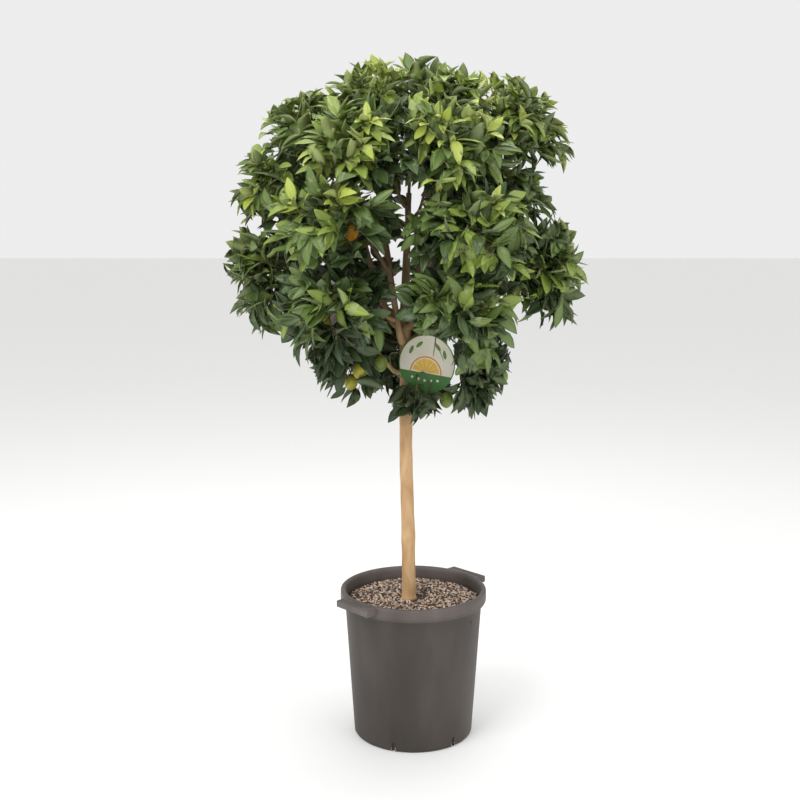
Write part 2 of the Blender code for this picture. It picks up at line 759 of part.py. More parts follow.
def growBoughs():
    trunkTree, leaderTree = surfaceTree(trunk), surfaceTree(leader)
    paths = {}
    for sector, plan in sectors.items():
        near, _ = trunkAt(plan["fork"])
        scaffold, points = addBough(f"bough_{sector}", trunkTree, near, up, masses[f"{sector}_shoulder"],
                                    scaffoldRadius, scaffoldTipRadius, scaffoldSpring)
        scaffoldTree = surfaceTree(scaffold)
        for kind in ("flank", "waist"):
            name = f"{sector}_{kind}"
            near, along = placeAtHeight(points, plan[kind][-1])
            _, paths[name] = addBough(f"branch_{name}", scaffoldTree, near, along, masses[name],
                                      branchRadius, branchTipRadius, branchSpring)
    for name, (*_, footHeight) in crests.items():
        near = Vector((leaderTop.x, leaderTop.y, footHeight))
        addBough(f"branch_{name}", leaderTree, near, up, masses[name],
                 crestRadius, crestTipRadius, branchSpring)
    for name, (*_, footHeight) in skirts.items():
        near, _ = trunkAt(footHeight)
        addBough(f"bough_{name}", trunkTree, near, up, masses[name],
                 branchRadius, branchTipRadius, branchSpring)
    return paths


leafShape, fruitShape = leafMesh(), fruitMesh()
leafCentres = []
makePot()
makeSoil()
trunk = makeTrunk()
leader = growLeader(Vector((*trunkAt(trunkTop.z - 0.006)[0].xy, trunkTop.z + seatGap)))
limbs = [trunk, leader]
masses = planMasses()
boughPaths = growBoughs()
strap, strapOuter = makeStrap()
limbs += [strap, makeCard(strapOuter), makeStrip(boughPaths["left_waist"])]
obstacles = [surfaceTree(limb) for limb in limbs]
shareOutFruit()
for mass in masses.values():
    growMass(mass)
    joinMass(mass)
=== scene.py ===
# Looks for a potted limequat tree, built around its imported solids.
import json
import math
import random

import bmesh
import bpy
import numpy as np
from mathutils import Matrix, Vector, noise
from mathutils.bvhtree import BVHTree

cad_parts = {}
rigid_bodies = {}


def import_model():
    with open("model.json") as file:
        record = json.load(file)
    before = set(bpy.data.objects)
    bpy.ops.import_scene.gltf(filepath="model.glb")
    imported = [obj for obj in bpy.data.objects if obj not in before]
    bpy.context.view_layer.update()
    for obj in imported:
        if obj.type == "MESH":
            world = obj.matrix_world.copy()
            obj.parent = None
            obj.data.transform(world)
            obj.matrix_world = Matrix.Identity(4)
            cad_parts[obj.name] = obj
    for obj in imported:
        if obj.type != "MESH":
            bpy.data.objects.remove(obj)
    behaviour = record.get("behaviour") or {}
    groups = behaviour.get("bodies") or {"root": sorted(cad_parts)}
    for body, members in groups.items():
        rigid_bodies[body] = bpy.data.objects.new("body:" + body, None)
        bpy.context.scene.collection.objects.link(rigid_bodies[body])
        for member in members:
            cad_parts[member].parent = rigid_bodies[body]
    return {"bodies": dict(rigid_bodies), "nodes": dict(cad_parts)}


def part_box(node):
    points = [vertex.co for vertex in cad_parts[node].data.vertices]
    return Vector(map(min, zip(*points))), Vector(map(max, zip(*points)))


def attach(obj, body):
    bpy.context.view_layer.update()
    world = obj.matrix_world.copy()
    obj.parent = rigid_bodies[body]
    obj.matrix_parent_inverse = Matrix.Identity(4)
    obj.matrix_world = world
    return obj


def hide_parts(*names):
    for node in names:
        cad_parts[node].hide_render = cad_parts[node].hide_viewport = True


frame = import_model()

kept = set(frame["nodes"].values()) | set(frame["bodies"].values())
for thing in [item for item in bpy.data.objects if item not in kept]:
    bpy.data.objects.remove(thing, do_unlink=True)
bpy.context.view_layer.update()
up = Vector((0.0, 0.0, 1.0))
golden = math.radians(137.5)

# view and stage
stageSet = dict(eye=(-0.033, -2.8, 1.287), pitch=9.13, lens=52.83, sensor=36.0, picture=800,
                sky=0.85, floorColour=(0.88, 0.88, 0.87), floorHalf=30.0, floorScale=3, lampAim=0.9,
                lamps=(("key", (-2.2, -2.6, 3.4), 2.4, 95), ("fill", (2.6, -2.0, 2.0), 2.6, 30),
                       ("top", (0.2, 0.6, 3.6), 2.2, 45)))


def setStage():
    data = bpy.data.cameras.new("camera")
    data.lens = stageSet["lens"]
    data.sensor_width = stageSet["sensor"]
    camera = bpy.data.objects.new("camera", data)
    camera.location = stageSet["eye"]
    camera.rotation_euler = (math.radians(90 - stageSet["pitch"]), 0, 0)
    bpy.context.scene.collection.objects.link(camera)
    bpy.context.scene.camera = camera
    bpy.context.scene.view_settings.view_transform = "Standard"
    world = bpy.data.worlds.new("studio")
    world.use_nodes = True
    world.node_tree.nodes["Background"].inputs["Color"].default_value = (1, 1, 1, 1)
    world.node_tree.nodes["Background"].inputs["Strength"].default_value = stageSet["sky"]
    bpy.context.scene.world = world
    for name, place, size, power in stageSet["lamps"]:
        light = bpy.data.lights.new(name, "AREA")
        light.energy = power
        light.size = size
        lamp = bpy.data.objects.new(name, light)
        lamp.location = place
        lamp.rotation_euler = (Vector(place) - up * stageSet["lampAim"]).to_track_quat("Z", "Y").to_euler()
        bpy.context.scene.collection.objects.link(lamp)
    half = stageSet["floorHalf"]
    floor = pieceFrom("floor", [(-half, -half, 0), (half, -half, 0), (half, half, 0), (-half, half, 0)],
                      [(0, 1, 2, 3)], [mottled("floorPaper", [(0, stageSet["floorColour"]),
                                                              (1, stageSet["floorColour"])],
                                               stageSet["floorScale"])])


def seenAt(across, down, depth):
    # the place that a picture point shows, on the plane at this depth
    focal = stageSet["lens"] / stageSet["sensor"] * stageSet["picture"]
    side, rise = (across - stageSet["picture"] / 2) / focal, (stageSet["picture"] / 2 - down) / focal
    pitch = math.radians(stageSet["pitch"])
    ahead = math.cos(pitch) + rise * math.sin(pitch)
    lift = rise * math.cos(pitch) - math.sin(pitch)
    far = (depth - stageSet["eye"][1]) / ahead
    return Vector((stageSet["eye"][0] + side * far, depth, stageSet["eye"][2] + lift * far))


# finishes
def plainFinish(name, colour, roughness, specular=0.5):
    material = bpy.data.materials.new(name)
    material.use_nodes = True
    shader = material.node_tree.nodes["Principled BSDF"]
    shader.inputs["Base Color"].default_value = (*colour, 1.0)
    shader.inputs["Roughness"].default_value = roughness
    shader.inputs["Specular IOR Level"].default_value = specular
    return material


def addNode(tree, kind, settings=None, values=None):
    node = tree.nodes.new("ShaderNode" + kind)
    for key, value in (settings or {}).items():
        setattr(node, key, value)
    for key, value in (values or {}).items():
        node.inputs[key].default_value = value
    return node


def addRamp(tree, source, stops):
    ramp = addNode(tree, "ValToRGB")
    elements = ramp.color_ramp.elements
    while len(elements) < len(stops):
        elements.new(0.5)
    for element, (place, colour) in zip(elements, stops):
        element.position = place
        element.color = (*colour, 1.0)
    tree.links.new(source, ramp.inputs[0])
    return ramp.outputs[0]


def mottled(name, stops, scale, stretch=(1, 1, 1), roughness=(0.6, 0.8), grain=(300, 0.25, 0.0005),
            wearAndPaintedLightByHeight=None, distortion=0.0):
    # noise picks the colour between the stops; a finer noise sets the gloss and the grain
    material = plainFinish(name, stops[0][1], roughness[0])
    tree = material.node_tree
    shader = tree.nodes["Principled BSDF"]
    place = addNode(tree, "TexCoord").outputs["Object"]
    mapping = addNode(tree, "Mapping", values={"Scale": stretch})
    tree.links.new(place, mapping.inputs[0])
    broad = addNode(tree, "TexNoise", values={"Scale": scale, "Detail": 6.0, "Distortion": distortion})
    tree.links.new(mapping.outputs[0], broad.inputs["Vector"])
    colour = addRamp(tree, broad.outputs[0], stops)
    # over the given heights the colour is multiplied by a ramp: painted highlight and wear on the pot's rim,
    # painted shade on the bark in the crown
    if wearAndPaintedLightByHeight:
        low, high, wearAndLightTints = wearAndPaintedLightByHeight
        split = addNode(tree, "SeparateXYZ")
        tree.links.new(place, split.inputs[0])
        share = addNode(tree, "MapRange", values={"From Min": low, "From Max": high})
        tree.links.new(split.outputs["Z"], share.inputs["Value"])
        mix = addNode(tree, "Mix", {"data_type": "RGBA", "blend_type": "MULTIPLY"})
        mix.inputs[0].default_value = 1.0
        tree.links.new(colour, mix.inputs[6])
        tree.links.new(addRamp(tree, share.outputs[0], wearAndLightTints), mix.inputs[7])
        colour = mix.outputs[2]
    tree.links.new(colour, shader.inputs["Base Color"])
    fine = addNode(tree, "TexNoise", values={"Scale": grain[0], "Detail": 4.0})
    tree.links.new(mapping.outputs[0], fine.inputs["Vector"])
    gloss = addNode(tree, "MapRange", values={"To Min": roughness[0], "To Max": roughness[1]})
    tree.links.new(fine.outputs[0], gloss.inputs["Value"])
    tree.links.new(gloss.outputs[0], shader.inputs["Roughness"])
    bump = addNode(tree, "Bump", values={"Strength": grain[1], "Distance": grain[2]})
    tree.links.new(fine.outputs[0], bump.inputs["Height"])
    tree.links.new(bump.outputs[0], shader.inputs["Normal"])
    return material


# making pieces
def pieceFrom(name, places, faces, finishes, picks=None, smooth=True):
    mesh = bpy.data.meshes.new(name)
    mesh.from_pydata([tuple(place) for place in places], [], faces)
    for material in finishes:
        mesh.materials.append(material)
    if picks is not None:
        mesh.polygons.foreach_set("material_index", picks)
    if smooth:
        mesh.shade_smooth()
    piece = bpy.data.objects.new(name, mesh)
    bpy.context.scene.collection.objects.link(piece)
    return piece


def tidyMesh(piece, sharp=None, merge=0.000001):
    shape = bmesh.new()
    shape.from_mesh(piece.data)
    bmesh.ops.remove_doubles(shape, verts=shape.verts, dist=merge)
    bmesh.ops.recalc_face_normals(shape, faces=shape.faces)
    shape.to_mesh(piece.data)
    shape.free()
    piece.data.shade_smooth()
    if sharp:
        piece.data.set_sharp_from_angle(angle=math.radians(sharp))
    return piece


def settle(piece, slot, *nodes):
    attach(piece, "root")
    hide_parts(*nodes)
    return piece


def plainMesh(piece):
    # the piece as its modifiers show it, with its place in its mesh
    bpy.context.view_layer.update()
    graph = bpy.context.evaluated_depsgraph_get()
    mesh = bpy.data.meshes.new_from_object(piece.evaluated_get(graph), depsgraph=graph)
    mesh.transform(piece.matrix_world)
    piece.modifiers.clear()
    piece.data = mesh
    piece.matrix_world = Matrix.Identity(4)
    return piece


def lathe(name, profile, steps, finishes, sharp=None):
    places, faces = [], []
    for step in range(steps):
        turn = step * math.tau / steps
        places += [(r * math.cos(turn), r * math.sin(turn), z) for r, z in profile]
    rows = len(profile)
    for step in range(steps):
        here, there = step * rows, (step + 1) % steps * rows
        faces += [(here + i, there + i, there + i + 1, here + i + 1) for i in range(rows - 1)]
    return tidyMesh(pieceFrom(name, places, faces, finishes), sharp)


def join(pieces):
    # joins into the first, whose finishes the others share or add to
    with bpy.context.temp_override(active_object=pieces[0], selected_editable_objects=pieces):
        bpy.ops.object.join()
    return pieces[0]


def block(name, size, place, bearing, finishes, bevel=0.0):
    shape = bmesh.new()
    bmesh.ops.create_cube(shape, size=1.0, matrix=Matrix.Diagonal((*size, 1.0)))
    if bevel:
        bmesh.ops.bevel(shape, geom=shape.edges[:], offset=bevel, segments=3, affect="EDGES")
    shape.transform(Matrix.Rotation(math.radians(bearing), 4, "Z") @ Matrix.Translation(place))
    mesh = bpy.data.meshes.new(name)
    shape.to_mesh(mesh)
    shape.free()
    for material in finishes:
        mesh.materials.append(material)
    piece = bpy.data.objects.new(name, mesh)
    bpy.context.scene.collection.objects.link(piece)
    return piece


def cutAway(piece, cutters):
    for cutter in cutters:
        cut = piece.modifiers.new("cut", "BOOLEAN")
        cut.operation = "DIFFERENCE"
        cut.object = cutter
        cut.solver = "EXACT"
    plainMesh(piece)
    for cutter in cutters:
        bpy.data.objects.remove(cutter, do_unlink=True)
    return piece


# pot
pot = dict(baseRadius=0.1465, neckRadius=0.1685, neckHeight=0.337, height=0.369, rimRadius=0.180, wall=0.003,
           floor=0.004, steps=144, gripBearing=43, gripReach=0.2015, gripLength=0.112, gripTop=0.366,
           gripDepth=0.016, gripWall=0.003, gripInner=0.1700, pocketInner=0.1722, notches=6,
           firstNotch=310.5, notchWidth=0.010, notchHeight=0.024, notchDepth=0.024, scuff=0.0012,
           scuffGap=0.0004, scuffShort=0.002, ribs=13, ribSize=(0.014, 0.0016, 0.0012), ribReach=0.1905,
           ribMargin=0.014, pocketTall=0.040, softEdge=0.0003, gripEdge=0.0012, sharp=40,
           recess=(0.0026, 0.012, 0.018), recessPlace=(0.1675, 0, 0.306), recessBearings=(324, 144))


def makePot():
    # the rim band and grips are painted up to 2.5 times lighter above the neck: partly wear, partly a painted
    # highlight where light falls on the rolled rim
    plastic = mottled("potPlastic", [(0.30, (0.024, 0.019, 0.015)), (0.52, (0.040, 0.031, 0.025)),
                                     (0.70, (0.060, 0.048, 0.040))],
                      9, stretch=(1, 1, 0.35), roughness=(0.42, 0.68), grain=(900, 0.12, 0.0003),
                      wearAndPaintedLightByHeight=(0.325, 0.350, [(0.0, (1, 1, 1)), (1.0, (2.2, 2.3, 2.5))]))
    scuffed = mottled("scuffedPlastic", [(0.35, (0.20, 0.18, 0.16)), (0.60, (0.42, 0.39, 0.36))], 240,
                      roughness=(0.6, 0.8))
    inner = pot["neckRadius"] - pot["wall"]
    rim, top, neck = pot["rimRadius"], pot["height"], pot["neckHeight"]
    lip = [(inner, neck), (inner + 0.0006, top - 0.014), (inner + 0.0012, top - 0.008),
           (inner + 0.0030, top - 0.0030), (inner + 0.0055, top - 0.0006), (rim - 0.0065, top),
           (rim - 0.0035, top - 0.0006), (rim - 0.0012, top - 0.0024), (rim - 0.0002, top - 0.0055),
           (rim, top - 0.010), (rim, neck + 0.008), (rim - 0.0004, neck + 0.0035),
           (rim - 0.0016, neck + 0.0008),
           (rim - 0.0034, neck + 0.0004), (rim - 0.0044, neck + 0.0020), (rim - 0.0048, neck + 0.008),
           (rim - 0.0070, neck + 0.010), (pot["neckRadius"] + 0.0012, neck + 0.009)]
    wall = []
    for share in (0.0, 0.02, 0.25, 0.5, 0.75, 0.96, 0.985):
        radius = pot["neckRadius"] + (pot["baseRadius"] - pot["neckRadius"]) * share
        wall.append((radius + 0.0004, neck * (1 - share)))
    foot = [(pot["baseRadius"] - 0.0006, 0.0020), (pot["baseRadius"] - 0.0030, 0.0), (0.0, 0.0)]
    inside = [(0.0, pot["floor"]), (pot["baseRadius"] - pot["wall"], pot["floor"])]
    shell = lathe("pot_shell", inside + lip + wall + foot, pot["steps"], [plastic, scuffed], pot["sharp"])
    cutters, grips = [], []
    outer, ceiling = pot["gripReach"] - pot["gripWall"], pot["gripTop"] - pot["gripWall"]
    for bearing in (pot["gripBearing"], pot["gripBearing"] + 180):
        hollow = (outer - pot["pocketInner"], pot["gripLength"] - 2 * pot["gripWall"], pot["pocketTall"])
        middle = Vector(((pot["pocketInner"] + outer) / 2, 0, ceiling - pot["pocketTall"] / 2))
        cutters.append(block("pocket", hollow, middle, bearing, []))
        size = (pot["gripReach"] - pot["gripInner"], pot["gripLength"], pot["gripDepth"])
        place = Vector(((pot["gripInner"] + pot["gripReach"]) / 2, 0, pot["gripTop"] - pot["gripDepth"] / 2))
        grip = block("grip", size, place, bearing, [plastic, scuffed], pot["gripEdge"])
        grips.append(cutAway(grip, [block("pocket", hollow, middle, bearing, [])]))
        for number in range(pot["ribs"]):
            along = (number / (pot["ribs"] - 1) - 0.5) * (pot["gripLength"] - pot["ribMargin"])
            place = Vector((pot["ribReach"], along, pot["gripTop"]))
            grips.append(block("rib", pot["ribSize"], place, bearing, [plastic], pot["softEdge"]))
    for number in range(pot["notches"]):
        bearing = pot["firstNotch"] + number * 60
        size = (pot["notchDepth"], pot["notchWidth"], 2 * pot["notchHeight"])
        cutters.append(block("notch", size, Vector((pot["baseRadius"], 0, 0)), bearing, []))
        for side in (-1, 1):
            edge = (pot["scuff"], pot["scuff"], pot["notchHeight"] - pot["scuffShort"])
            place = Vector((pot["baseRadius"] + pot["scuffGap"],
                            side * (pot["notchWidth"] / 2 + pot["scuffGap"]), pot["notchHeight"] / 2))
            grips.append(block("edge", edge, place, bearing, [scuffed], pot["softEdge"]))
    for bearing in pot["recessBearings"]:
        cutters.append(block("recess", pot["recess"], Vector(pot["recessPlace"]), bearing, []))
    cutAway(shell, cutters)
    for piece in [shell] + grips:
        tidyMesh(piece, pot["sharp"])
    shell = join([shell] + grips)
    settle(shell, "pot_plastic", "pot")
    print("pot:", len(shell.data.polygons), "faces")


# mulch
mulch = dict(hollow=0.338, crown=0.343, edge=0.337, hollowRadius=0.030, hollowSlope=0.035, fallRadius=0.120,
             fallSlope=0.043, fall=0.006, clear=0.0003, rings=16, steps=96, roughness=0.0022, lumpScale=60,
             chipSteps=48, chipRings=10, chipInner=0.024, chipEdge=0.006, chipLift=0.0006,
             chipSize=(1.0, 0.42, 0.20), chipSmallest=0.0035, chipLargest=0.0095, chipWarp=0.35, chipGrain=3,
             kinds=[("pale", (0.52, 0.38, 0.29), (0.66, 0.53, 0.43), 10500, 11),
                    ("tan", (0.30, 0.18, 0.11), (0.42, 0.28, 0.18), 8500, 12),
                    ("dark", (0.035, 0.024, 0.018), (0.08, 0.052, 0.036), 9000, 13),
                    ("grey", (0.34, 0.32, 0.30), (0.56, 0.53, 0.49), 2200, 14)])


def groundHeight(x, y):
    reach = math.hypot(x, y)
    rise = min(1.0, max(0.0, (reach - mulch["hollowRadius"]) / mulch["hollowSlope"]))
    fall = max(0.0, (reach - mulch["fallRadius"]) / mulch["fallSlope"])
    height = mulch["hollow"] + (mulch["crown"] - mulch["hollow"]) * rise - mulch["fall"] * min(1.0, fall)
    return height + noise.noise(Vector((x, y, 0)) * mulch["lumpScale"]) * mulch["roughness"]


def scatterTree():
    tree = bpy.data.node_groups.new("scatterChips", "GeometryNodeTree")
    kinds = [("Geometry", "NodeSocketGeometry"), ("Chip", "NodeSocketObject"),
             ("Per Area", "NodeSocketFloat"),
             ("Smallest", "NodeSocketFloat"), ("Largest", "NodeSocketFloat"), ("Seed", "NodeSocketInt"),
             ("Finish", "NodeSocketMaterial")]
    for label, kind in kinds:
        tree.interface.new_socket(label, in_out="INPUT", socket_type=kind)
    tree.interface.new_socket("Geometry", in_out="OUTPUT", socket_type="NodeSocketGeometry")
    given, result = tree.nodes.new("NodeGroupInput"), tree.nodes.new("NodeGroupOutput")
    points = tree.nodes.new("GeometryNodeDistributePointsOnFaces")
    tree.links.new(given.outputs["Geometry"], points.inputs["Mesh"])
    tree.links.new(given.outputs["Per Area"], points.inputs["Density"])
    tree.links.new(given.outputs["Seed"], points.inputs["Seed"])
    turn = tree.nodes.new("FunctionNodeRandomValue")
    turn.data_type = "FLOAT_VECTOR"
    turn.inputs[0].default_value = (-0.55, -0.55, 0.0)
    turn.inputs[1].default_value = (0.55, 0.55, math.tau)
    tree.links.new(given.outputs["Seed"], turn.inputs["Seed"])
    size = tree.nodes.new("FunctionNodeRandomValue")
    size.data_type = "FLOAT"
    tree.links.new(given.outputs["Smallest"], size.inputs[2])
    tree.links.new(given.outputs["Largest"], size.inputs[3])
    tree.links.new(given.outputs["Seed"], size.inputs["Seed"])
    chip = tree.nodes.new("GeometryNodeObjectInfo")
    tree.links.new(given.outputs["Chip"], chip.inputs["Object"])
    place = tree.nodes.new("GeometryNodeInstanceOnPoints")
    tree.links.new(points.outputs["Points"], place.inputs["Points"])
    tree.links.new(chip.outputs["Geometry"], place.inputs["Instance"])
    tree.links.new(turn.outputs[0], place.inputs["Rotation"])
    tree.links.new(size.outputs[1], place.inputs["Scale"])
    solid = tree.nodes.new("GeometryNodeRealizeInstances")
    tree.links.new(place.outputs[0], solid.inputs[0])
    finish = tree.nodes.new("GeometryNodeSetMaterial")
    tree.links.new(solid.outputs[0], finish.inputs["Geometry"])
    tree.links.new(given.outputs["Finish"], finish.inputs["Material"])
    tree.links.new(finish.outputs[0], result.inputs[0])
    return tree


def makeMulch():
    earth = mottled("pottingMix", [(0.35, (0.020, 0.014, 0.010)), (0.60, (0.065, 0.042, 0.028))], 160,
                    roughness=(0.85, 1.0), grain=(500, 0.6, 0.001))
    slope = (pot["neckRadius"] - pot["baseRadius"]) / pot["neckHeight"]
    edge = pot["baseRadius"] + slope * mulch["edge"] - pot["wall"] - mulch["clear"]
    low = pot["baseRadius"] + slope * pot["floor"] - pot["wall"] - mulch["clear"]
    profile = [(edge * i / mulch["rings"], mulch["edge"]) for i in range(mulch["rings"] + 1)]
    profile += [(low, pot["floor"] + mulch["clear"]), (0.0, pot["floor"] + mulch["clear"])]
    bed = lathe("mulch_bed", profile, mulch["steps"], [earth], 60)
    for vertex in bed.data.vertices:
        if vertex.co.z > 0.3 and vertex.co.xy.length < edge - 0.001:
            vertex.co.z = groundHeight(vertex.co.x, vertex.co.y)
    settle(bed, "mulch", "soil")
    tree = scatterTree()
    inputs = {item.name: item.identifier for item in tree.interface.items_tree if item.in_out == "INPUT"}
    chips, places = [], []
    steps, rings, inner = mulch["chipSteps"], mulch["chipRings"], mulch["chipInner"]
    for ring in range(rings + 1):
        reach = inner + (edge - mulch["chipEdge"] - inner) * ring / rings
        for step in range(steps):
            x, y = reach * math.cos(step * math.tau / steps), reach * math.sin(step * math.tau / steps)
            places.append((x, y, groundHeight(x, y) + mulch["chipLift"]))
    faces = [(r * steps + s, (r + 1) * steps + s, (r + 1) * steps + (s + 1) % steps,
              r * steps + (s + 1) % steps) for r in range(rings) for s in range(steps)]
    for name, colour, paler, density, seed in mulch["kinds"]:
        chip = block("chip_" + name, mulch["chipSize"], Vector((0, 0, 0)), 0, [])
        for vertex in chip.data.vertices:
            warp = noise.noise(vertex.co * mulch["chipGrain"] + Vector((seed, 0, 0)))
            vertex.co *= 1 + mulch["chipWarp"] * warp
        chip.hide_render = True
        finish = mottled(name + "Chip", [(0.3, colour), (0.7, paler)], 90, roughness=(0.8, 0.95))
        scatter = pieceFrom("chips_" + name, places, faces, [])
        modifier = scatter.modifiers.new("scatter", "NODES")
        modifier.node_group = tree
        values = {"Chip": chip, "Per Area": float(density), "Smallest": mulch["chipSmallest"],
                  "Largest": mulch["chipLargest"], "Seed": seed, "Finish": finish}
        for label, value in values.items():
            modifier[inputs[label]] = value
        plainMesh(scatter)
        bpy.data.objects.remove(chip, do_unlink=True)
        if not len(scatter.data.materials):
            scatter.data.materials.append(finish)
        chips.append(scatter)
    loose = join(chips)
    loose.name = "mulch_chips"
    settle(loose, "mulch", "soil")
    print("mulch:", len(loose.data.polygons), "faces")


# the tree's plan, as the solids have it
trunk = dict(foot=Vector((-0.011, 0.0, 0.3383)), top=Vector((-0.022, 0.004, 1.040)), footRadius=0.0172,
             topRadius=0.0140, flare=0.0035, flareHeight=0.016, sway=0.0016)
leader = dict(top=Vector((-0.012, 0.022, 1.330)), radius=0.0105, tipRadius=0.0058, sunk=0.02, rise=0.012,
              spread=0.0024, below=0.006)
limbs = dict(scaffold=(0.0092, 0.0050, 0.06), branch=(0.0060, 0.0040, 0.12), crest=(0.0045, 0.0035, 0.12),
             knee=0.008, seat=0.0003, points=4)
crownAxis = Vector((-0.020, 0.0, 0.0))
crownHeart = Vector((-0.020, 0.0, 1.200))
sectors = {
    "left": dict(bearing=180, fork=1.018, shoulder=(-4, 0.300, 1.535, 1.19),
                 flank=(4, 0.395, 1.385, 1.20, 1.215), waist=(5, 0.433, 1.136, 1.155, 1.120)),
    "front_left": dict(bearing=236, fork=0.984, shoulder=(4, 0.300, 1.500, 1.19),
                       flank=(0, 0.395, 1.290, 1.18, 1.160), waist=(-4, 0.380, 1.075, 1.085, 1.040)),
    "front_right": dict(bearing=298, fork=1.018, shoulder=(-4, 0.310, 1.490, 1.19),
                        flank=(3, 0.400, 1.265, 1.18, 1.165), waist=(-2, 0.380, 1.060, 1.085, 1.056)),
    "right": dict(bearing=0, fork=0.984, shoulder=(4, 0.323, 1.560, 1.19),
                  flank=(-5, 0.335, 1.372, 1.20, 1.190), waist=(0, 0.433, 1.155, 1.10, 1.060)),
    "back_right": dict(bearing=60, fork=1.018, shoulder=(3, 0.310, 1.510, 1.19),
                       flank=(-4, 0.400, 1.300, 1.18, 1.170), waist=(4, 0.390, 1.080, 1.085, 1.056)),
    "back_left": dict(bearing=121, fork=0.984, shoulder=(-3, 0.305, 1.500, 1.19),
                      flank=(4, 0.395, 1.280, 1.18, 1.155), waist=(0, 0.375, 1.065, 1.085, 1.040)),
}
massKinds = {
    "shoulder": dict(length=0.250, spread=0.170, middle=0.50, leaf=0.096),
    "flank": dict(length=0.250, spread=0.165, middle=0.50, leaf=0.096),
    "waist": dict(length=0.215, spread=0.150, middle=0.46, leaf=0.094),
    "crest": dict(length=0.250, spread=0.140, middle=0.50, leaf=0.094),
    "skirt": dict(length=0.165, spread=0.120, middle=0.40, leaf=0.082),
}
crests = {"crest_left": (210, 0.134, 1.618, 1.300, 1.300), "crest_right": (338, 0.180, 1.600, 1.300, 1.275)}
crestTip = Vector((0.009, 0.045, 1.650))
skirts = {"skirt_left": (194, 0.236, 0.925, 0.990, 0.905), "skirt_right": (346, 0.245, 0.866, 0.990, 0.925),
          "skirt_front": (350, 0.100, 0.817, 0.930, 0.888), "skirt_back": (97, 0.215, 0.880, 0.990, 0.900)}


def trunkAt(height):
    above = height - trunk["foot"].z
    share = above / (trunk["top"].z - trunk["foot"].z)
    sway = math.sin(share * math.tau * 1.5) * math.sin(share * math.pi) * trunk["sway"]
    flare = trunk["flare"] * max(0.0, 1.0 - above / trunk["flareHeight"]) ** 2
    radius = trunk["footRadius"] + (trunk["topRadius"] - trunk["footRadius"]) * share + flare
    return trunk["foot"].lerp(trunk["top"], share) + Vector((sway, -sway, 0.0)), radius


def crownPoint(bearing, reach, height):
    angle = math.radians(bearing)
    return crownAxis + Vector((reach * math.cos(angle), reach * math.sin(angle), height))


class Mass:
    # one mass of foliage, in the same space as its solid
    def __init__(self, name, kind, tip, heart, start=None):
        size = massKinds[kind]
        away = tip - Vector((crownAxis.x, crownAxis.y, heart))
        self.name, self.kind, self.tip, self.leaf = name, kind, tip, size["leaf"]
        self.start = start or tip - away.normalized() * min(size["length"], away.length * 0.75)
        self.axis = (tip - self.start).normalized()
        self.middle = self.start.lerp(tip, size["middle"])
        self.halfLength, self.spread = (tip - self.middle).length, size["spread"]
        self.outward, self.cell, self.fruits = self.axis, [], []

    def holds(self, point, spare=0.0):
        offset = point - self.middle
        along = offset.dot(self.axis) / self.halfLength
        across = (offset - self.axis * offset.dot(self.axis)).length / self.spread
        return along * along + across * across <= 1.0 and self.inCell(point, spare)

    def inCell(self, point, spare=0.0):
        return all((point - place).dot(normal) < -0.0006 - spare for place, normal in self.cell)


def planMasses():
    masses = {}
    for sector, plan in sectors.items():
        for kind in ("shoulder", "flank", "waist"):
            turn, reach, height, heart = plan[kind][:4]
            name = f"{sector}_{kind}"
            masses[name] = Mass(name, kind, crownPoint(plan["bearing"] + turn, reach, height), heart)
    for name, (bearing, reach, height, heart, _) in crests.items():
        masses[name] = Mass(name, "crest", crownPoint(bearing, reach, height), heart)
    masses["crest"] = Mass("crest", "crest", crestTip, leader["top"].z, leader["top"] + up * limbs["seat"])
    for name, (bearing, reach, height, heart, _) in skirts.items():
        masses[name] = Mass(name, "skirt", crownPoint(bearing, reach, height), heart)
    for mass in masses.values():
        for other in masses.values():
            if other is not mass:
                between = other.middle - mass.middle
                mass.cell.append((mass.middle + between / 2, between.normalized()))
    for mass in masses.values():
        while mass.name != "crest" and not mass.inCell(mass.start, 0.006):
            mass.start = mass.start.lerp(mass.middle, 0.1)
    return masses


def solidTree(node):
    mesh = frame["nodes"][node].data
    return BVHTree.FromPolygons([vertex.co.copy() for vertex in mesh.vertices],
                                [tuple(face.vertices) for face in mesh.polygons])


def placeAtHeight(points, height):
    lower, upper = next(pair for pair in zip(points, points[1:]) if pair[1].z > height)
    return lower.lerp(upper, (height - lower.z) / (upper.z - lower.z)), (upper - lower).normalized()


def limbPath(parent, near, along, end, spring):
    aim = end - near
    probe = near + (aim - along * aim.dot(along)).normalized() * 0.03
    seat, outward, _, _ = solidTree(parent).find_nearest(probe)
    foot = seat + outward * limbs["seat"]
    knee = foot + outward * limbs["knee"]
    control = knee + outward * (end - knee).length * spring
    points = [foot]
    for step in range(limbs["points"]):
        share = step / (limbs["points"] - 1)
        points.append(knee.lerp(control, share).lerp(control.lerp(end, share), share))
    return points, outward


# bark
bark = dict(trunkSides=32, leaderSides=16, limbSides=12, trunkGap=0.005, ringGap=0.006, relief=0.0007,
            ridgeAcross=90, ridgeAlong=26, knobs=0.0033, knobAcross=30, knobAlong=17, knobStart=0.18,
            knobShift=Vector((7, 3, 1)), collar=0.0035, collarLength=0.010, sunk=0.006)
barkPlaces, barkFaces = [], []


def smoothPath(points, gap):
    # an even walk along a smooth curve through the points, with the share of the way at each step
    walk = []
    for i in range(len(points) - 1):
        before, here = points[max(0, i - 1)], points[i]
        there, after = points[i + 1], points[min(len(points) - 1, i + 2)]
        steps = max(1, round((there - here).length / gap))
        for step in range(steps):
            t = step / steps
            square = 2 * before - 5 * here + 4 * there - after
            cube = 3 * here - before - 3 * there + after
            place = 0.5 * (2 * here + (there - before) * t + square * t * t + cube * t ** 3)
            walk.append((place, (i + t) / (len(points) - 1)))
    walk.append((points[-1], 1.0))
    return walk


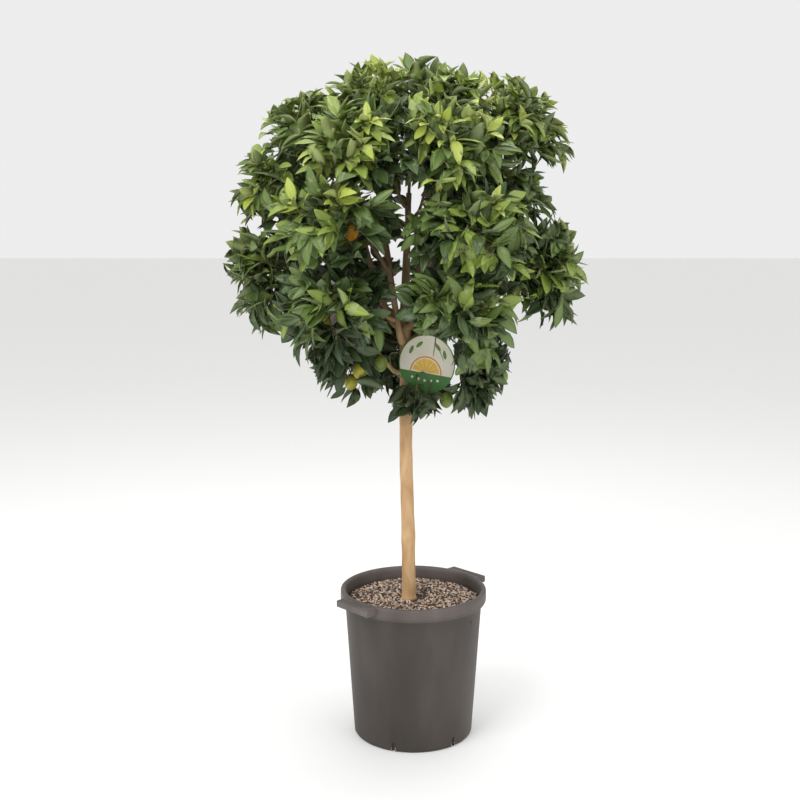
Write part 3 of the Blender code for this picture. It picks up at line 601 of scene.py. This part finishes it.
def addTube(places, faces, walk, radii, sides, swell=None):
    # rings carried along the walk without twist, with both ends closed
    first = len(places)
    forward = (walk[1][0] - walk[0][0]).normalized()
    side = forward.orthogonal().normalized()
    for number, (centre, _) in enumerate(walk):
        ahead = walk[min(len(walk) - 1, number + 1)][0] - walk[max(0, number - 1)][0]
        forward = ahead.normalized()
        side = (side - forward * side.dot(forward)).normalized()
        across = forward.cross(side)
        for corner in range(sides):
            angle = corner * math.tau / sides
            radius = radii[number]
            direction = side * math.cos(angle) + across * math.sin(angle)
            if swell:
                radius += swell(centre + direction * radius)
            places.append(centre + direction * radius)
    for number in range(len(walk) - 1):
        here, there = first + number * sides, first + (number + 1) * sides
        faces += [(here + i, here + (i + 1) % sides, there + (i + 1) % sides, there + i)
                  for i in range(sides)]
    last = first + (len(walk) - 1) * sides
    faces.append(tuple(first + i for i in reversed(range(sides))))
    faces.append(tuple(last + i for i in range(sides)))


def barkRelief(place):
    # fine ridges that run up the limb, and a knob where a broader noise stands out
    ridges = Vector((place.x * bark["ridgeAcross"], place.y * bark["ridgeAcross"],
                     place.z * bark["ridgeAlong"]))
    lumps = Vector((place.x * bark["knobAcross"], place.y * bark["knobAcross"], place.z * bark["knobAlong"]))
    knob = max(0.0, noise.noise(lumps + bark["knobShift"]) - bark["knobStart"])
    return noise.noise(ridges) * bark["relief"] + knob * bark["knobs"]


def addLimb(points, radius, tipRadius, outward=None, sides=bark["limbSides"]):
    # with outward, the limb starts a little inside its parent and spreads into a collar there
    if outward is not None:
        points = [points[0] - outward * bark["sunk"]] + points[1:]
    walk = smoothPath(points, bark["ringGap"])
    radii, travelled = [], 0.0
    for number, (place, share) in enumerate(walk):
        if number:
            travelled += (place - walk[number - 1][0]).length
        collar = bark["collar"] * math.exp(-travelled / bark["collarLength"]) if outward is not None else 0.0
        radii.append(radius + (tipRadius - radius) * share + collar * radius / limbs["scaffold"][0])
    addTube(barkPlaces, barkFaces, walk, radii, sides, barkRelief)


def growBoughs(masses):
    paths, nodes = {}, ["trunk", "leader"]
    tall = trunk["top"].z - trunk["foot"].z
    rings = [trunkAt(trunk["foot"].z + bark["trunkGap"] * i) for i in range(int(tall / bark["trunkGap"]))]
    walk = [(place, 0) for place, _ in rings]
    addTube(barkPlaces, barkFaces, walk, [radius for _, radius in rings], bark["trunkSides"], barkRelief)
    head = Vector((*trunkAt(trunk["top"].z - leader["below"])[0].xy, trunk["top"].z + limbs["seat"]))
    points = [head - up * leader["sunk"], head + up * leader["rise"]]
    points += [points[1].lerp(leader["top"], share / 4) for share in range(1, 5)]
    addLimb(points, leader["radius"] + leader["spread"], leader["tipRadius"], None, bark["leaderSides"])

    def addBough(name, parent, near, along, mass, sizes):
        points, outward = limbPath(parent, near, along, mass.start, sizes[2])
        mass.outward = (points[-1] - points[-2]).normalized()
        mass.start = mass.start + mass.outward * limbs["seat"]
        addLimb(points, sizes[0], sizes[1], outward)
        nodes.append(name)
        return points
    for sector, plan in sectors.items():
        near, _ = trunkAt(plan["fork"])
        points = addBough(f"bough_{sector}", "trunk", near, up, masses[f"{sector}_shoulder"],
                          limbs["scaffold"])
        for kind in ("flank", "waist"):
            name = f"{sector}_{kind}"
            near, along = placeAtHeight(points, plan[kind][-1])
            paths[name] = addBough(f"branch_{name}", f"bough_{sector}", near, along, masses[name],
                                   limbs["branch"])
    for name, (*_, footHeight) in crests.items():
        near = Vector((leader["top"].x, leader["top"].y, footHeight))
        addBough(f"branch_{name}", "leader", near, up, masses[name], limbs["crest"])
    for name, (*_, footHeight) in skirts.items():
        near, _ = trunkAt(footHeight)
        addBough(f"bough_{name}", "trunk", near, up, masses[name], limbs["branch"])
    # the bark is painted darker from 0.86 to 1.12 m, painted shade where the crown shades the trunk and limbs
    finish = mottled("barkTan", [(0.28, (0.30, 0.165, 0.070)), (0.50, (0.47, 0.285, 0.135)),
                                 (0.72, (0.60, 0.400, 0.210))],
                     26, stretch=(1.6, 1.6, 0.45), roughness=(0.68, 0.86), grain=(420, 0.45, 0.0008),
                     wearAndPaintedLightByHeight=(0.86, 1.12, [(0.0, (1, 1, 1)), (1.0, (0.34, 0.36, 0.34))]), distortion=0.5)
    wood = pieceFrom("bark", barkPlaces, barkFaces, [finish])
    settle(wood, "bark", *nodes)
    print("bark:", len(wood.data.polygons), "faces")
    return paths, nodes


# leaves
leaf = dict(width=0.43, petiole=0.09, stations=(0.0, 0.09, 0.20, 0.36, 0.54, 0.74, 0.90), rib=0.075,
            cheek=0.52, narrowest=0.012, skew=0.86, fullness=0.92, tipDrop=0.6, foldPower=1.2, waves=9,
            groove=0.008, thickness=0.012, longest=0.082, shortest=0.054, apart=0.0125, toSky=0.60,
            toOutside=0.75, tumble=0.35, faceTumble=1.4, headingTumble=0.8,
            shapes=((0.30, 0.20, 0.02), (0.42, 0.34, 0.05), (0.22, 0.10, 0.06), (0.50, 0.26, -0.04),
                    (0.34, 0.42, 0.03), (0.16, -0.12, -0.05)))
# top and underside colours, in steps from young growth with painted light at the top and outer ends to
# painted shade deep in the crown
leafTints = {
    "Young": ((0.36, 0.43, 0.070), (0.40, 0.46, 0.16)),
    "Fresh": ((0.215, 0.295, 0.048), (0.29, 0.35, 0.13)),
    "Grown": ((0.110, 0.170, 0.036), (0.20, 0.25, 0.11)),
    "Deep": ((0.055, 0.094, 0.026), (0.14, 0.18, 0.085)),
    "Shade": ((0.032, 0.056, 0.018), (0.095, 0.125, 0.060)),
}


def leafFinishes():
    finishes = []
    for tint, (top, under) in leafTints.items():
        finishes.append(plainFinish("leaf" + tint, top, 0.40, 0.45))
        finishes.append(plainFinish("leaf" + tint + "Under", under, 0.62, 0.30))
        rib = tuple(0.6 * a + 0.4 * b for a, b in zip(top, under))
        finishes.append(plainFinish("leaf" + tint + "Rib", rib, 0.5, 0.4))
    return finishes


def leafTemplate(fold, droop, wave):
    # rows from stalk to tip, each with six points above and one below, closed to a point at the tip
    places, faces, picks = [], [], []
    for t in leaf["stations"]:
        share = max(0.0, (t - leaf["petiole"]) / (1 - leaf["petiole"]))
        half = max(leaf["narrowest"],
                   leaf["width"] / 2 * math.sin(math.pi * share ** leaf["skew"]) ** leaf["fullness"])
        mid = droop * (0.25 - (t - 0.5) ** 2) - droop * leaf["tipDrop"] * t * t
        for u in (-1, -leaf["cheek"], -leaf["rib"], leaf["rib"], leaf["cheek"], 1):
            ripple = wave * math.sin(t * leaf["waves"]) * u
            lift = fold * half * abs(u) ** leaf["foldPower"] + ripple * half
            sunk = leaf["groove"] if abs(u) == leaf["rib"] and half > leaf["narrowest"] else 0
            places.append((t, u * half, mid + lift - sunk))
        places.append((t, 0.0, mid - leaf["thickness"]))
    places.append((1.0, 0.0, -droop * leaf["tipDrop"]))
    rows, tip = len(leaf["stations"]), len(places) - 1
    for row in range(rows - 1):
        here, there = row * 7, row * 7 + 7
        for column in range(5):
            faces.append((here + column, there + column, there + column + 1, here + column + 1))
            picks.append(2 if column == 2 else 0)
        faces += [(here, here + 6, there + 6, there), (here + 6, here + 5, there + 5, there + 6)]
        picks += [1, 1]
    end = (rows - 1) * 7
    for column in range(5):
        faces.append((end + column, tip, end + column + 1))
        picks.append(2 if column == 2 else 0)
    faces += [(end, end + 6, tip), (end + 6, end + 5, tip), (6, 0, 1, 2, 3, 4, 5)]
    picks += [1, 1, 1]
    return np.array(places), faces, np.array(picks)


class Foliage:
    # gathers leaves for one piece, then makes its mesh from arrays
    def __init__(self, name):
        self.name, self.copies, self.nodes = name, [], []

    def make(self, templates, finishes):
        places, loops, starts, totals, picks = [], [], [], [], []
        first, cursor = 0, 0
        for shape, matrix, tint in self.copies:
            points, faces, index = templates[shape]
            turn = np.array(matrix)
            places.append(points @ turn[:3, :3].T + turn[:3, 3])
            sizes = np.array([len(face) for face in faces])
            loops.append(np.concatenate([np.array(face) for face in faces]) + first)
            starts.append(np.concatenate([[0], np.cumsum(sizes)[:-1]]) + cursor)
            totals.append(sizes)
            picks.append(index + 3 * tint)
            first += len(points)
            cursor += int(sizes.sum())
        mesh = bpy.data.meshes.new(self.name)
        places, loops = np.concatenate(places), np.concatenate(loops)
        starts, totals, picks = np.concatenate(starts), np.concatenate(totals), np.concatenate(picks)
        mesh.vertices.add(len(places))
        mesh.vertices.foreach_set("co", places.astype(np.float32).ravel())
        mesh.loops.add(len(loops))
        mesh.loops.foreach_set("vertex_index", loops.astype(np.int32))
        mesh.polygons.add(len(starts))
        mesh.polygons.foreach_set("loop_start", starts.astype(np.int32))
        for material in finishes:
            mesh.materials.append(material)
        mesh.polygons.foreach_set("material_index", picks.astype(np.int32))
        mesh.update(calc_edges=True)
        mesh.validate()
        mesh.shade_smooth()
        piece = bpy.data.objects.new(self.name, mesh)
        bpy.context.scene.collection.objects.link(piece)
        settle(piece, "foliage", *self.nodes)
        print(self.name + ":", len(self.copies), "leaves,", int((totals - 2).sum()), "triangles")


# fruit
fruit = dict(width=0.033, length=0.040, stalk=0.0011, room=1.15, homeShare=0.51, depthStep=0.006,
             depthSteps=24, segments=24, rings=16, lumps=0.03, nipple=0.05, nippleFrom=0.93,
             places=[((-0.140, -0.215, 1.243), "Ripe"), ((-0.127, -0.070, 0.917), "Turning"),
                     ((-0.079, -0.070, 0.936), "Green"), ((-0.150, -0.030, 0.885), "Turning"),
                     ((-0.208, 0.035, 1.022), "Turning"), ((0.172, -0.110, 1.210), "Green"),
                     ((0.170, -0.140, 1.085), "Green"), ((0.207, -0.040, 0.900), "Green"),
                     ((0.078, -0.110, 0.842), "Green"), ((0.090, 0.230, 1.150), "Turning")])
fruitTints = {"Ripe": [(0.3, (0.80, 0.30, 0.012)), (0.7, (0.88, 0.42, 0.030))],
              "Turning": [(0.3, (0.30, 0.33, 0.030)), (0.7, (0.55, 0.48, 0.050))],
              "Green": [(0.3, (0.105, 0.165, 0.022)), (0.7, (0.20, 0.26, 0.035))]}


def shareOutFruit(masses, obstacles):
    # the same homes and depths as the solids have
    shape = bmesh.new()
    wide, tall = fruit["width"] / 2 * fruit["room"], fruit["length"] / 2 * fruit["room"]
    size = Matrix.Diagonal((wide, wide, tall, 1))
    bmesh.ops.create_uvsphere(shape, u_segments=6, v_segments=4, radius=1.0, matrix=size)
    outline = [vertex.co.copy() for vertex in shape.verts]
    faces = [tuple(vertex.index for vertex in face.verts) for face in shape.faces]
    shape.free()

    def isClear(spot):
        tree = BVHTree.FromPolygons([spot + co for co in outline], faces)
        return not any(tree.overlap(obstacle) for obstacle in obstacles)
    found = []
    for place, tint in fruit["places"]:
        steps = range(-fruit["depthSteps"], fruit["depthSteps"] + 1)
        depths = sorted((fruit["depthStep"] * step for step in steps), key=abs)
        spots = [Vector(place) + Vector((0.0, depth, 0.0)) for depth in depths]
        homes = ((mass, spot) for spot in spots if isClear(spot) for mass in masses.values()
                 if mass.inCell(spot, fruit["length"] * fruit["homeShare"]))
        mass, spot = next(homes, (None, None))
        if mass:
            mass.fruits.append((spot, tint))
            found.append((spot, tint))
    return found


def makeFruit(found):
    pieces = []
    for number, (spot, tint) in enumerate(found):
        shape = bmesh.new()
        bmesh.ops.create_uvsphere(shape, u_segments=fruit["segments"], v_segments=fruit["rings"], radius=1.0)
        for vertex in shape.verts:
            x, y, z = vertex.co
            lump = noise.noise(vertex.co * 1.5 + spot * 40)
            wide = fruit["width"] / 2 * (1 + fruit["lumps"] * lump)
            point = max(0.0, -z - fruit["nippleFrom"]) / (1 - fruit["nippleFrom"])
            tall = fruit["length"] / 2 * (1 + fruit["nipple"] * point)
            vertex.co = spot + Vector((x * wide, y * wide, z * tall))
        mesh = bpy.data.meshes.new("fruit")
        shape.to_mesh(mesh)
        shape.free()
        name = "fruit" + tint
        finish = bpy.data.materials.get(name) or mottled(name, fruitTints[tint], 45, roughness=(0.28, 0.42),
                                                         grain=(900, 0.35, 0.0004))
        mesh.materials.append(finish)
        mesh.shade_smooth()
        piece = bpy.data.objects.new(f"fruit_{number}", mesh)
        bpy.context.scene.collection.objects.link(piece)
        pieces.append(piece)
    joined = join(pieces)
    joined.name = "fruit"
    return joined


# growth: the solids' rule again, carried on to finer twigs and leaves of real size
growth = dict(stem=0.0040, shoot=0.0024, twig=0.0014, end=0.0008, shoots=15, shootLongest=0.160,
              shootShortest=0.018, leafGap=0.0125, sideTwigs=3, sideLongest=0.065, rosette=4, step=0.006,
              shootLean=(0.50, 0.84, 0.15), sideLean=(0.55, 0.75, 0.15), leafLean=(0.60, 0.80), knee=0.30,
              bow=0.05, stemEnd=0.85, fromShare=0.06, alongShare=0.90, crown=(0.40, 0.38, 0.42),
              outWeight=0.75, heightWeight=0.55, scatter=0.28, tintSteps=(0.98, 0.78, 0.55, 0.34))
room = dict(trunk=0.026, lowest=0.80, fruit=0.030, fruitTip=0.022, label=0.022, labelTip=0.006, heart=0.45,
            seenFruit=7, fruitView=0.021, cardView=0.072, stripView=0.016, reach=0.93)
twigPlaces, twigFaces = [], []


class Grower:
    def __init__(self, labels, found):
        self.taken = set()
        self.eye = Vector(stageSet["eye"])
        self.fruits = [spot for spot, _ in found]
        self.views = [(spot, room["fruitView"]) for spot in self.fruits[:room["seenFruit"]]]
        self.views += [(Vector(labels["card"]), room["cardView"])]
        self.views += [(Vector(place), room["stripView"]) for place in labels["strip"]]
        self.solids = [solidTree(node) for node in ("label_card", "label_strip", "label_strap")]

    def isFree(self, centre, tip):
        if (centre.xy - trunkAt(centre.z)[0].xy).length < room["trunk"] or centre.z < room["lowest"]:
            return False
        if any((centre - spot).length < room["fruit"] or (tip - spot).length < room["fruitTip"]
               for spot in self.fruits):
            return False
        if any(solid.find_nearest(centre)[3] < room["label"] or solid.find_nearest(tip)[3] < room["labelTip"]
               for solid in self.solids):
            return False
        for target, reach in self.views:
            line = (target - self.eye).normalized()
            for place in (centre, tip):
                offset = place - self.eye
                along = offset.dot(line)
                if along < (target - self.eye).length and (offset - line * along).length < reach:
                    return False
        cell = tuple(int(c / leaf["apart"]) for c in centre)
        if cell in self.taken:
            return False
        self.taken.add(cell)
        return True

    def addLeaf(self, mass, foliage, place, forward, size, dice, tint):
        away = (place - crownHeart).normalized()
        lean = Vector([dice.uniform(-leaf["tumble"], leaf["tumble"]) for _ in range(3)])
        facing = (up * leaf["toSky"] + away * leaf["toOutside"] + lean * leaf["faceTumble"]).normalized()
        direction = (forward + lean * leaf["headingTumble"]).normalized()
        across = facing.cross(direction)
        if across.length < 0.05:
            return
        across.normalize()
        normal = direction.cross(across)
        tip = place + direction * size
        if not mass.holds(mass.middle.lerp(tip, room["reach"])):
            return
        if not self.isFree(place + direction * size * room["heart"], tip):
            return
        turn = Matrix((direction, across, normal)).transposed().to_4x4()
        turn.translation = place
        foliage.copies.append((dice.randrange(len(leaf["shapes"])), turn @ Matrix.Scale(size, 4), tint))

    def tintFor(self, place, dice):
        # young growth with painted light at the top and the outer ends, painted shade inside
        offset = place - crownHeart
        wide, deep, tall = growth["crown"]
        out = math.hypot(offset.x / wide, offset.y / deep, max(0.0, offset.z) / tall)
        score = out * growth["outWeight"] + offset.z * growth["heightWeight"]
        score += dice.uniform(-growth["scatter"], growth["scatter"])
        return sum(score <= step for step in growth["tintSteps"])

    def addTwig(self, points, radius, tipRadius, sides=5):
        walk = smoothPath(points, 0.012)
        radii = [radius + (tipRadius - radius) * share for _, share in walk]
        addTube(twigPlaces, twigFaces, walk, radii, sides)

    def dress(self, mass, foliage, points, dice, tint, young):
        # leaves in a spiral along a twig, and a fan of them at its end
        length = sum((b - a).length for a, b in zip(points, points[1:]))
        count = max(1, int((length - 0.010) / growth["leafGap"]))
        turn = dice.uniform(0, math.tau)
        for number in range(count):
            share = (0.012 + (length - 0.016) * number / count) / length
            step = min(len(points) - 2, int(share * (len(points) - 1)))
            place = points[step].lerp(points[step + 1], share * (len(points) - 1) - step)
            forward = (points[step + 1] - points[step]).normalized()
            side = forward.orthogonal().normalized()
            around = Matrix.Rotation(turn + number * golden, 3, forward) @ side
            size = dice.uniform(leaf["shortest"], leaf["longest"]) * (0.86 if young else 1.0)
            heading = forward * growth["leafLean"][0] + around * growth["leafLean"][1]
            self.addLeaf(mass, foliage, place, heading, size, dice, tint)
        forward = (points[-1] - points[-2]).normalized()
        side = forward.orthogonal().normalized()
        for number in range(growth["rosette"]):
            around = Matrix.Rotation(turn + number * golden, 3, forward) @ side
            size = dice.uniform(leaf["shortest"], leaf["longest"]) * (0.8 if young else 0.95)
            heading = forward * (1.0 - 0.12 * number) + around * (0.15 + 0.2 * number)
            self.addLeaf(mass, foliage, points[-1], heading, size, dice, tint)

    def grow(self, mass, foliage):
        dice = random.Random("limequat " + mass.name)
        end = mass.tip - mass.axis * mass.leaf * growth["stemEnd"]
        knee = mass.start + mass.outward * (end - mass.start).length * growth["knee"]
        bend = knee.lerp(end, 0.5) + mass.outward * (end - mass.start).length * growth["bow"]
        stem = [mass.start - mass.outward * 0.004, knee, bend, end]
        self.addTwig(stem, growth["stem"], growth["twig"], 8)
        tint = self.tintFor(end, dice)
        self.dress(mass, foliage, [bend, end], dice, tint, tint == 0)
        side = mass.axis.orthogonal().normalized()
        turn = dice.uniform(0, math.tau)
        for number in range(growth["shoots"]):
            share = growth["fromShare"] + growth["alongShare"] * (number + 0.5) / growth["shoots"]
            step = min(2, int(share * 3))
            base = stem[step].lerp(stem[step + 1], share * 3 - step)
            around = Matrix.Rotation(turn + number * golden, 3, mass.axis) @ side
            ahead, aside, lift = growth["shootLean"]
            direction = (mass.axis * ahead + around * aside + up * lift).normalized()
            reach = 0.0
            while reach < growth["shootLongest"] and mass.holds(base + direction * (reach + 0.050), 0.002):
                reach += growth["step"]
            if reach < growth["shootShortest"]:
                continue
            sag = up * reach * dice.uniform(-0.05, 0.12) + around * reach * dice.uniform(-0.06, 0.06)
            points = [base, base + direction * reach * 0.5 + sag, base + direction * reach]
            self.addTwig(points, growth["shoot"], growth["end"])
            tint = self.tintFor(points[-1], dice)
            self.dress(mass, foliage, points, dice, tint, tint == 0)
            for twig in range(growth["sideTwigs"]):
                along = 0.25 + 0.22 * twig + dice.uniform(-0.06, 0.06)
                half = points[:2] if along < 0.5 else points[1:]
                foot = half[0].lerp(half[1], along * 2 % 1)
                cross = direction.orthogonal().normalized()
                out = Matrix.Rotation(dice.uniform(0, math.tau), 3, direction) @ cross
                ahead, aside, lift = growth["sideLean"]
                heading = (direction * ahead + out * aside + up * lift).normalized()
                length = 0.0
                while length < growth["sideLongest"] and mass.holds(foot + heading * (length + 0.045), 0.001):
                    length += growth["step"]
                if length < growth["shootShortest"]:
                    continue
                tip = foot + heading * length
                twigPoints = [foot, foot.lerp(tip, 0.5) + up * length * 0.05, tip]
                self.addTwig(twigPoints, growth["twig"], growth["end"] * 0.8)
                tint = self.tintFor(tip, dice)
                self.dress(mass, foliage, twigPoints, dice, tint, tint == 0)
        for spot, _ in mass.fruits:
            top = spot + up * fruit["length"] * 0.46
            foot = min(stem[1:], key=lambda point: (point - top).length)
            elbow = foot.lerp(top, 0.62) + up * 0.012
            self.addTwig([foot, elbow, top + up * 0.004, top], 0.0018, fruit["stalk"])
            self.addTwig([top, top + up * 0.0016], 0.0034, 0.0022, 8)


# labels
labels = dict(cardRadius=0.0705, cardThickness=0.0012, cardTurn=20, cardTilt=7, cardHeight=0.929,
              cardAlong=0.0596, strapHeight=0.952, strapDepth=0.005, strapThickness=0.0008,
              stripWidth=0.026, stripLength=0.172, stripThickness=0.0009, stripPlace=0.86, stripTilt=7,
              stripFold=0.045, stripSeen=(0.15, 0.4, 0.65, 0.85), sharp=40, tailRadius=0.0013,
              tailSeen=((390.5, 354, -0.030), (391, 366, -0.034), (397, 375, -0.038), (404, 379, -0.041)))
card = dict(border=0.0026, relief=0.00012, skin=0.0001, bandTop=0.022, sliceBase=(0.0, -0.0215), slice=0.040,
            pith=0.0365, flesh=0.0335, heart=0.006, segments=6, firstSegment=5, segmentTurn=28.6,
            segmentSpan=26, leafReach=0.053, leafSpread=26, leafTurn=52, leafHalf=(0.011, 0.0042),
            dots=5, dotGap=0.016, dotRadius=0.0032, dotHeight=-0.036, gloss=0.35,
            inks=(("cardGreen", (0.055, 0.200, 0.035)), ("cardOrange", (0.80, 0.27, 0.012)),
                  ("cardYellow", (0.86, 0.52, 0.040)), ("cardLeaf", (0.110, 0.260, 0.030))))


def plate(places, faces, picks, outline, low, high, pick, turn):
    # a flat closed plate with the given outline, between two heights
    first, count = len(places), len(outline)
    places += [turn @ Vector((x, y, low)) for x, y in outline]
    places += [turn @ Vector((x, y, high)) for x, y in outline]
    faces.append(tuple(first + i for i in reversed(range(count))))
    faces.append(tuple(first + count + i for i in range(count)))
    faces += [(first + i, first + (i + 1) % count, first + count + (i + 1) % count, first + count + i)
              for i in range(count)]
    picks += [pick] * (count + 2)


def arc(radius, start, stop, steps, centre=(0.0, 0.0)):
    angles = [math.radians(start + (stop - start) * i / steps) for i in range(steps + 1)]
    return [(centre[0] + radius * math.cos(a), centre[1] + radius * math.sin(a)) for a in angles]


def cardMatrix():
    turn = math.radians(labels["cardTurn"])
    facing = Vector((-math.sin(turn), -math.cos(turn), 0.0))
    along = Vector((math.cos(turn), -math.sin(turn), 0.0))
    centre, radius = trunkAt(labels["strapHeight"])
    outer = radius + 0.0004 + labels["strapThickness"]
    place = centre + facing * (outer + 0.0003 + labels["cardThickness"] / 2) + along * labels["cardAlong"]
    place.z = labels["cardHeight"]
    stand = Matrix((along, up, facing)).transposed().to_4x4()
    return Matrix.Translation(place) @ stand @ Matrix.Rotation(math.radians(-labels["cardTilt"]), 4, "Z")


def makeCard():
    turn = cardMatrix()
    places, faces, picks = [], [], []
    radius, half = labels["cardRadius"], labels["cardThickness"] / 2
    plate(places, faces, picks, arc(radius, 0, 357, 119), -half, half, 0, turn)
    lift, skin, inner = half + card["relief"], card["skin"], radius - card["border"]
    for step in range(72):
        outline = arc(radius, step * 5, step * 5 + 5, 1) + arc(inner, step * 5 + 5, step * 5, 1)
        plate(places, faces, picks, outline, half - skin, lift, 1, turn)
    cut = math.degrees(math.asin(card["bandTop"] / inner))
    plate(places, faces, picks, arc(inner, 180 + cut, 360 - cut, 40), half - skin, lift, 1, turn)
    base = card["sliceBase"]
    plate(places, faces, picks, arc(card["slice"], 0, 180, 36, base), half - skin, lift, 2, turn)
    plate(places, faces, picks, arc(card["pith"], 0, 180, 36, base), half, lift + skin, 0, turn)
    for number in range(card["segments"]):
        start = card["firstSegment"] + number * card["segmentTurn"]
        stop = start + card["segmentSpan"]
        outline = arc(card["flesh"], start, stop, 8, base) + arc(card["heart"], stop, start, 3, base)
        plate(places, faces, picks, outline, half, lift + 2 * skin, 3, turn)
    wide, slim = card["leafHalf"]
    for side in (-1, 1):
        tipAngle = 90 - side * card["leafTurn"]
        for spread in (0, card["leafSpread"]):
            angle = math.radians(tipAngle + side * spread)
            middle = (card["leafReach"] * math.cos(angle), card["leafReach"] * math.sin(angle) - 0.004)
            outline = []
            for i in range(16):
                t = i * math.tau / 16
                x, y = wide * math.cos(t), slim * math.sin(t) * abs(math.sin(t)) ** 0.2
                c, s = math.cos(angle + 1.2 * side), math.sin(angle + 1.2 * side)
                outline.append((middle[0] + x * c - y * s, middle[1] + x * s + y * c))
            plate(places, faces, picks, outline, half, lift + skin, 4, turn)
    for number in range(card["dots"]):
        spot = (card["dotGap"] * (number - 2), card["dotHeight"] - 0.004 * (1 - abs(number - 2) / 2))
        plate(places, faces, picks, arc(card["dotRadius"], 0, 340, 17, spot), half, lift + skin, 0, turn)
    finishes = [mottled("cardCream", [(0.4, (0.80, 0.76, 0.62)), (0.6, (0.86, 0.82, 0.70))], 20,
                        roughness=(0.30, 0.42), grain=(200, 0.05, 0.0002))]
    finishes += [plainFinish(name, colour, card["gloss"]) for name, colour in card["inks"]]
    face = pieceFrom("label_card_face", places, faces, finishes, picks, smooth=False)
    settle(face, "label_card", "label_card")
    return turn.translation


def makeStrap():
    # the band round the trunk, and its tail that curls to the lower left of the card
    places, faces = [], []
    centre, radius = trunkAt(labels["strapHeight"])
    inner, half = radius + 0.0004, labels["strapDepth"] / 2
    steps = 64
    for step in range(steps):
        angle = step * math.tau / steps
        for r, z in ((inner, half), (inner + labels["strapThickness"], half),
                     (inner + labels["strapThickness"], -half), (inner, -half)):
            places.append(centre + Vector((r * math.cos(angle), r * math.sin(angle), z)))
    for step in range(steps):
        here, there = step * 4, (step + 1) % steps * 4
        faces += [(here + i, there + i, there + (i + 1) % 4, here + (i + 1) % 4) for i in range(4)]
    tail = [centre + Vector((-inner * 0.9, -inner * 0.4, 0.0))]
    tail += [seenAt(*spot) for spot in labels["tailSeen"]]
    walk = smoothPath(tail, 0.003)
    addTube(places, faces, walk, [labels["tailRadius"]] * len(walk), 8)
    olive = mottled("strapOlive", [(0.4, (0.14, 0.17, 0.045)), (0.6, (0.20, 0.23, 0.070))], 60,
                    roughness=(0.4, 0.5))
    strap = tidyMesh(pieceFrom("label_strap_band", places, faces, [olive]), labels["sharp"])
    settle(strap, "label_strap", "label_strap")


def pointAt(points, share):
    place = share * (len(points) - 1)
    step = min(int(place), len(points) - 2)
    return points[step].lerp(points[step + 1], place - step)


def makeStrip(points):
    # folded over its branch as the solid is, with a light curl across it and a ripple down its length
    low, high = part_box("label_strip")
    bough = pointAt(points, labels["stripPlace"])
    along = pointAt(points, labels["stripPlace"] + 0.1) - bough
    slope = math.atan2(-along.z, along.xy.length) - math.radians(labels["stripTilt"])
    bend = (limbs["branch"][1] + 0.0006) / math.cos(slope) + abs(math.tan(slope)) * labels["stripWidth"] / 2
    bend += limbs["seat"] + labels["stripThickness"] / 2
    path = [(-bend, -labels["stripLength"] * (1 - i / 24)) for i in range(25)]
    path += [(-bend * math.cos(a), bend * math.sin(a)) for a in (math.pi * i / 14 for i in range(1, 15))]
    path += [(bend, -0.006), (bend, -0.012), (bend * 0.5, -0.021), (0.0, -0.030)]
    path += [(-bend + 0.003, -labels["stripFold"])]
    heading = math.atan2(-along.y, -along.x)
    turn = (Matrix.Translation(bough) @ Matrix.Rotation(heading, 4, "Z")
            @ Matrix.Rotation(-math.radians(labels["stripTilt"]), 4, "Y"))
    columns = (-1.0, -0.6, -0.2, 0.2, 0.6, 1.0)
    places, faces = [], []
    for number, (y, z) in enumerate(path):
        hang = max(0.0, -z / labels["stripLength"])
        for u in columns:
            curl = 0.0022 * hang * (u * u - 0.4) + 0.0012 * math.sin(z * 90) * hang
            places.append(turn @ Vector((u * labels["stripWidth"] / 2, y - curl if number < 25 else y, z)))
    width = len(columns)
    for row in range(len(path) - 1):
        faces += [(row * width + i, row * width + i + 1, (row + 1) * width + i + 1, (row + 1) * width + i)
                  for i in range(width - 1)]
    strip = pieceFrom("label_strip_paper", places, faces, [mottled(
        "stripPaper", [(0.35, (0.80, 0.72, 0.62)), (0.65, (0.90, 0.83, 0.75))], 30, roughness=(0.7, 0.85),
        grain=(500, 0.15, 0.0003))])
    solid = strip.modifiers.new("thickness", "SOLIDIFY")
    solid.thickness = labels["stripThickness"] * 0.6
    solid.offset = 0.0
    plainMesh(strip)
    tidyMesh(strip, labels["sharp"])
    settle(strip, "label_strip", "label_strip")
    middle = (low + high) / 2
    tall = high.z - low.z
    return [Vector((middle.x - 0.004, low.y, low.z + tall * share)) for share in labels["stripSeen"]]


# put together
setStage()
makePot()
makeMulch()
masses = planMasses()
paths, limbNodes = growBoughs(masses)
labelSpots = dict(card=makeCard(), strip=makeStrip(paths["left_waist"]))
makeStrap()
obstacles = [solidTree(node) for node in limbNodes + ["label_strap", "label_card", "label_strip"]]
found = shareOutFruit(masses, obstacles)
grower = Grower(labelSpots, found)
groups = {kind: Foliage("leaves_" + kind) for kind in massKinds}
for mass in masses.values():
    groups[mass.kind].nodes.append("foliage_" + mass.name)
    grower.grow(mass, groups[mass.kind])
finishes = leafFinishes()
templates = [leafTemplate(*values) for values in leaf["shapes"]]
for foliage in groups.values():
    foliage.make(templates, finishes)
massNodes = ["foliage_" + name for name in masses]
twigs = pieceFrom("twigs", twigPlaces, twigFaces, [mottled(
    "twigGreen", [(0.35, (0.10, 0.105, 0.035)), (0.65, (0.20, 0.19, 0.070))], 70, roughness=(0.6, 0.75))])
settle(twigs, "bark", *massNodes)
print("twigs:", len(twigs.data.polygons), "faces")
fruitPiece = makeFruit(found)
settle(fruitPiece, "foliage", *["foliage_" + mass.name for mass in masses.values() if mass.fruits])
print("fruit:", len(found))
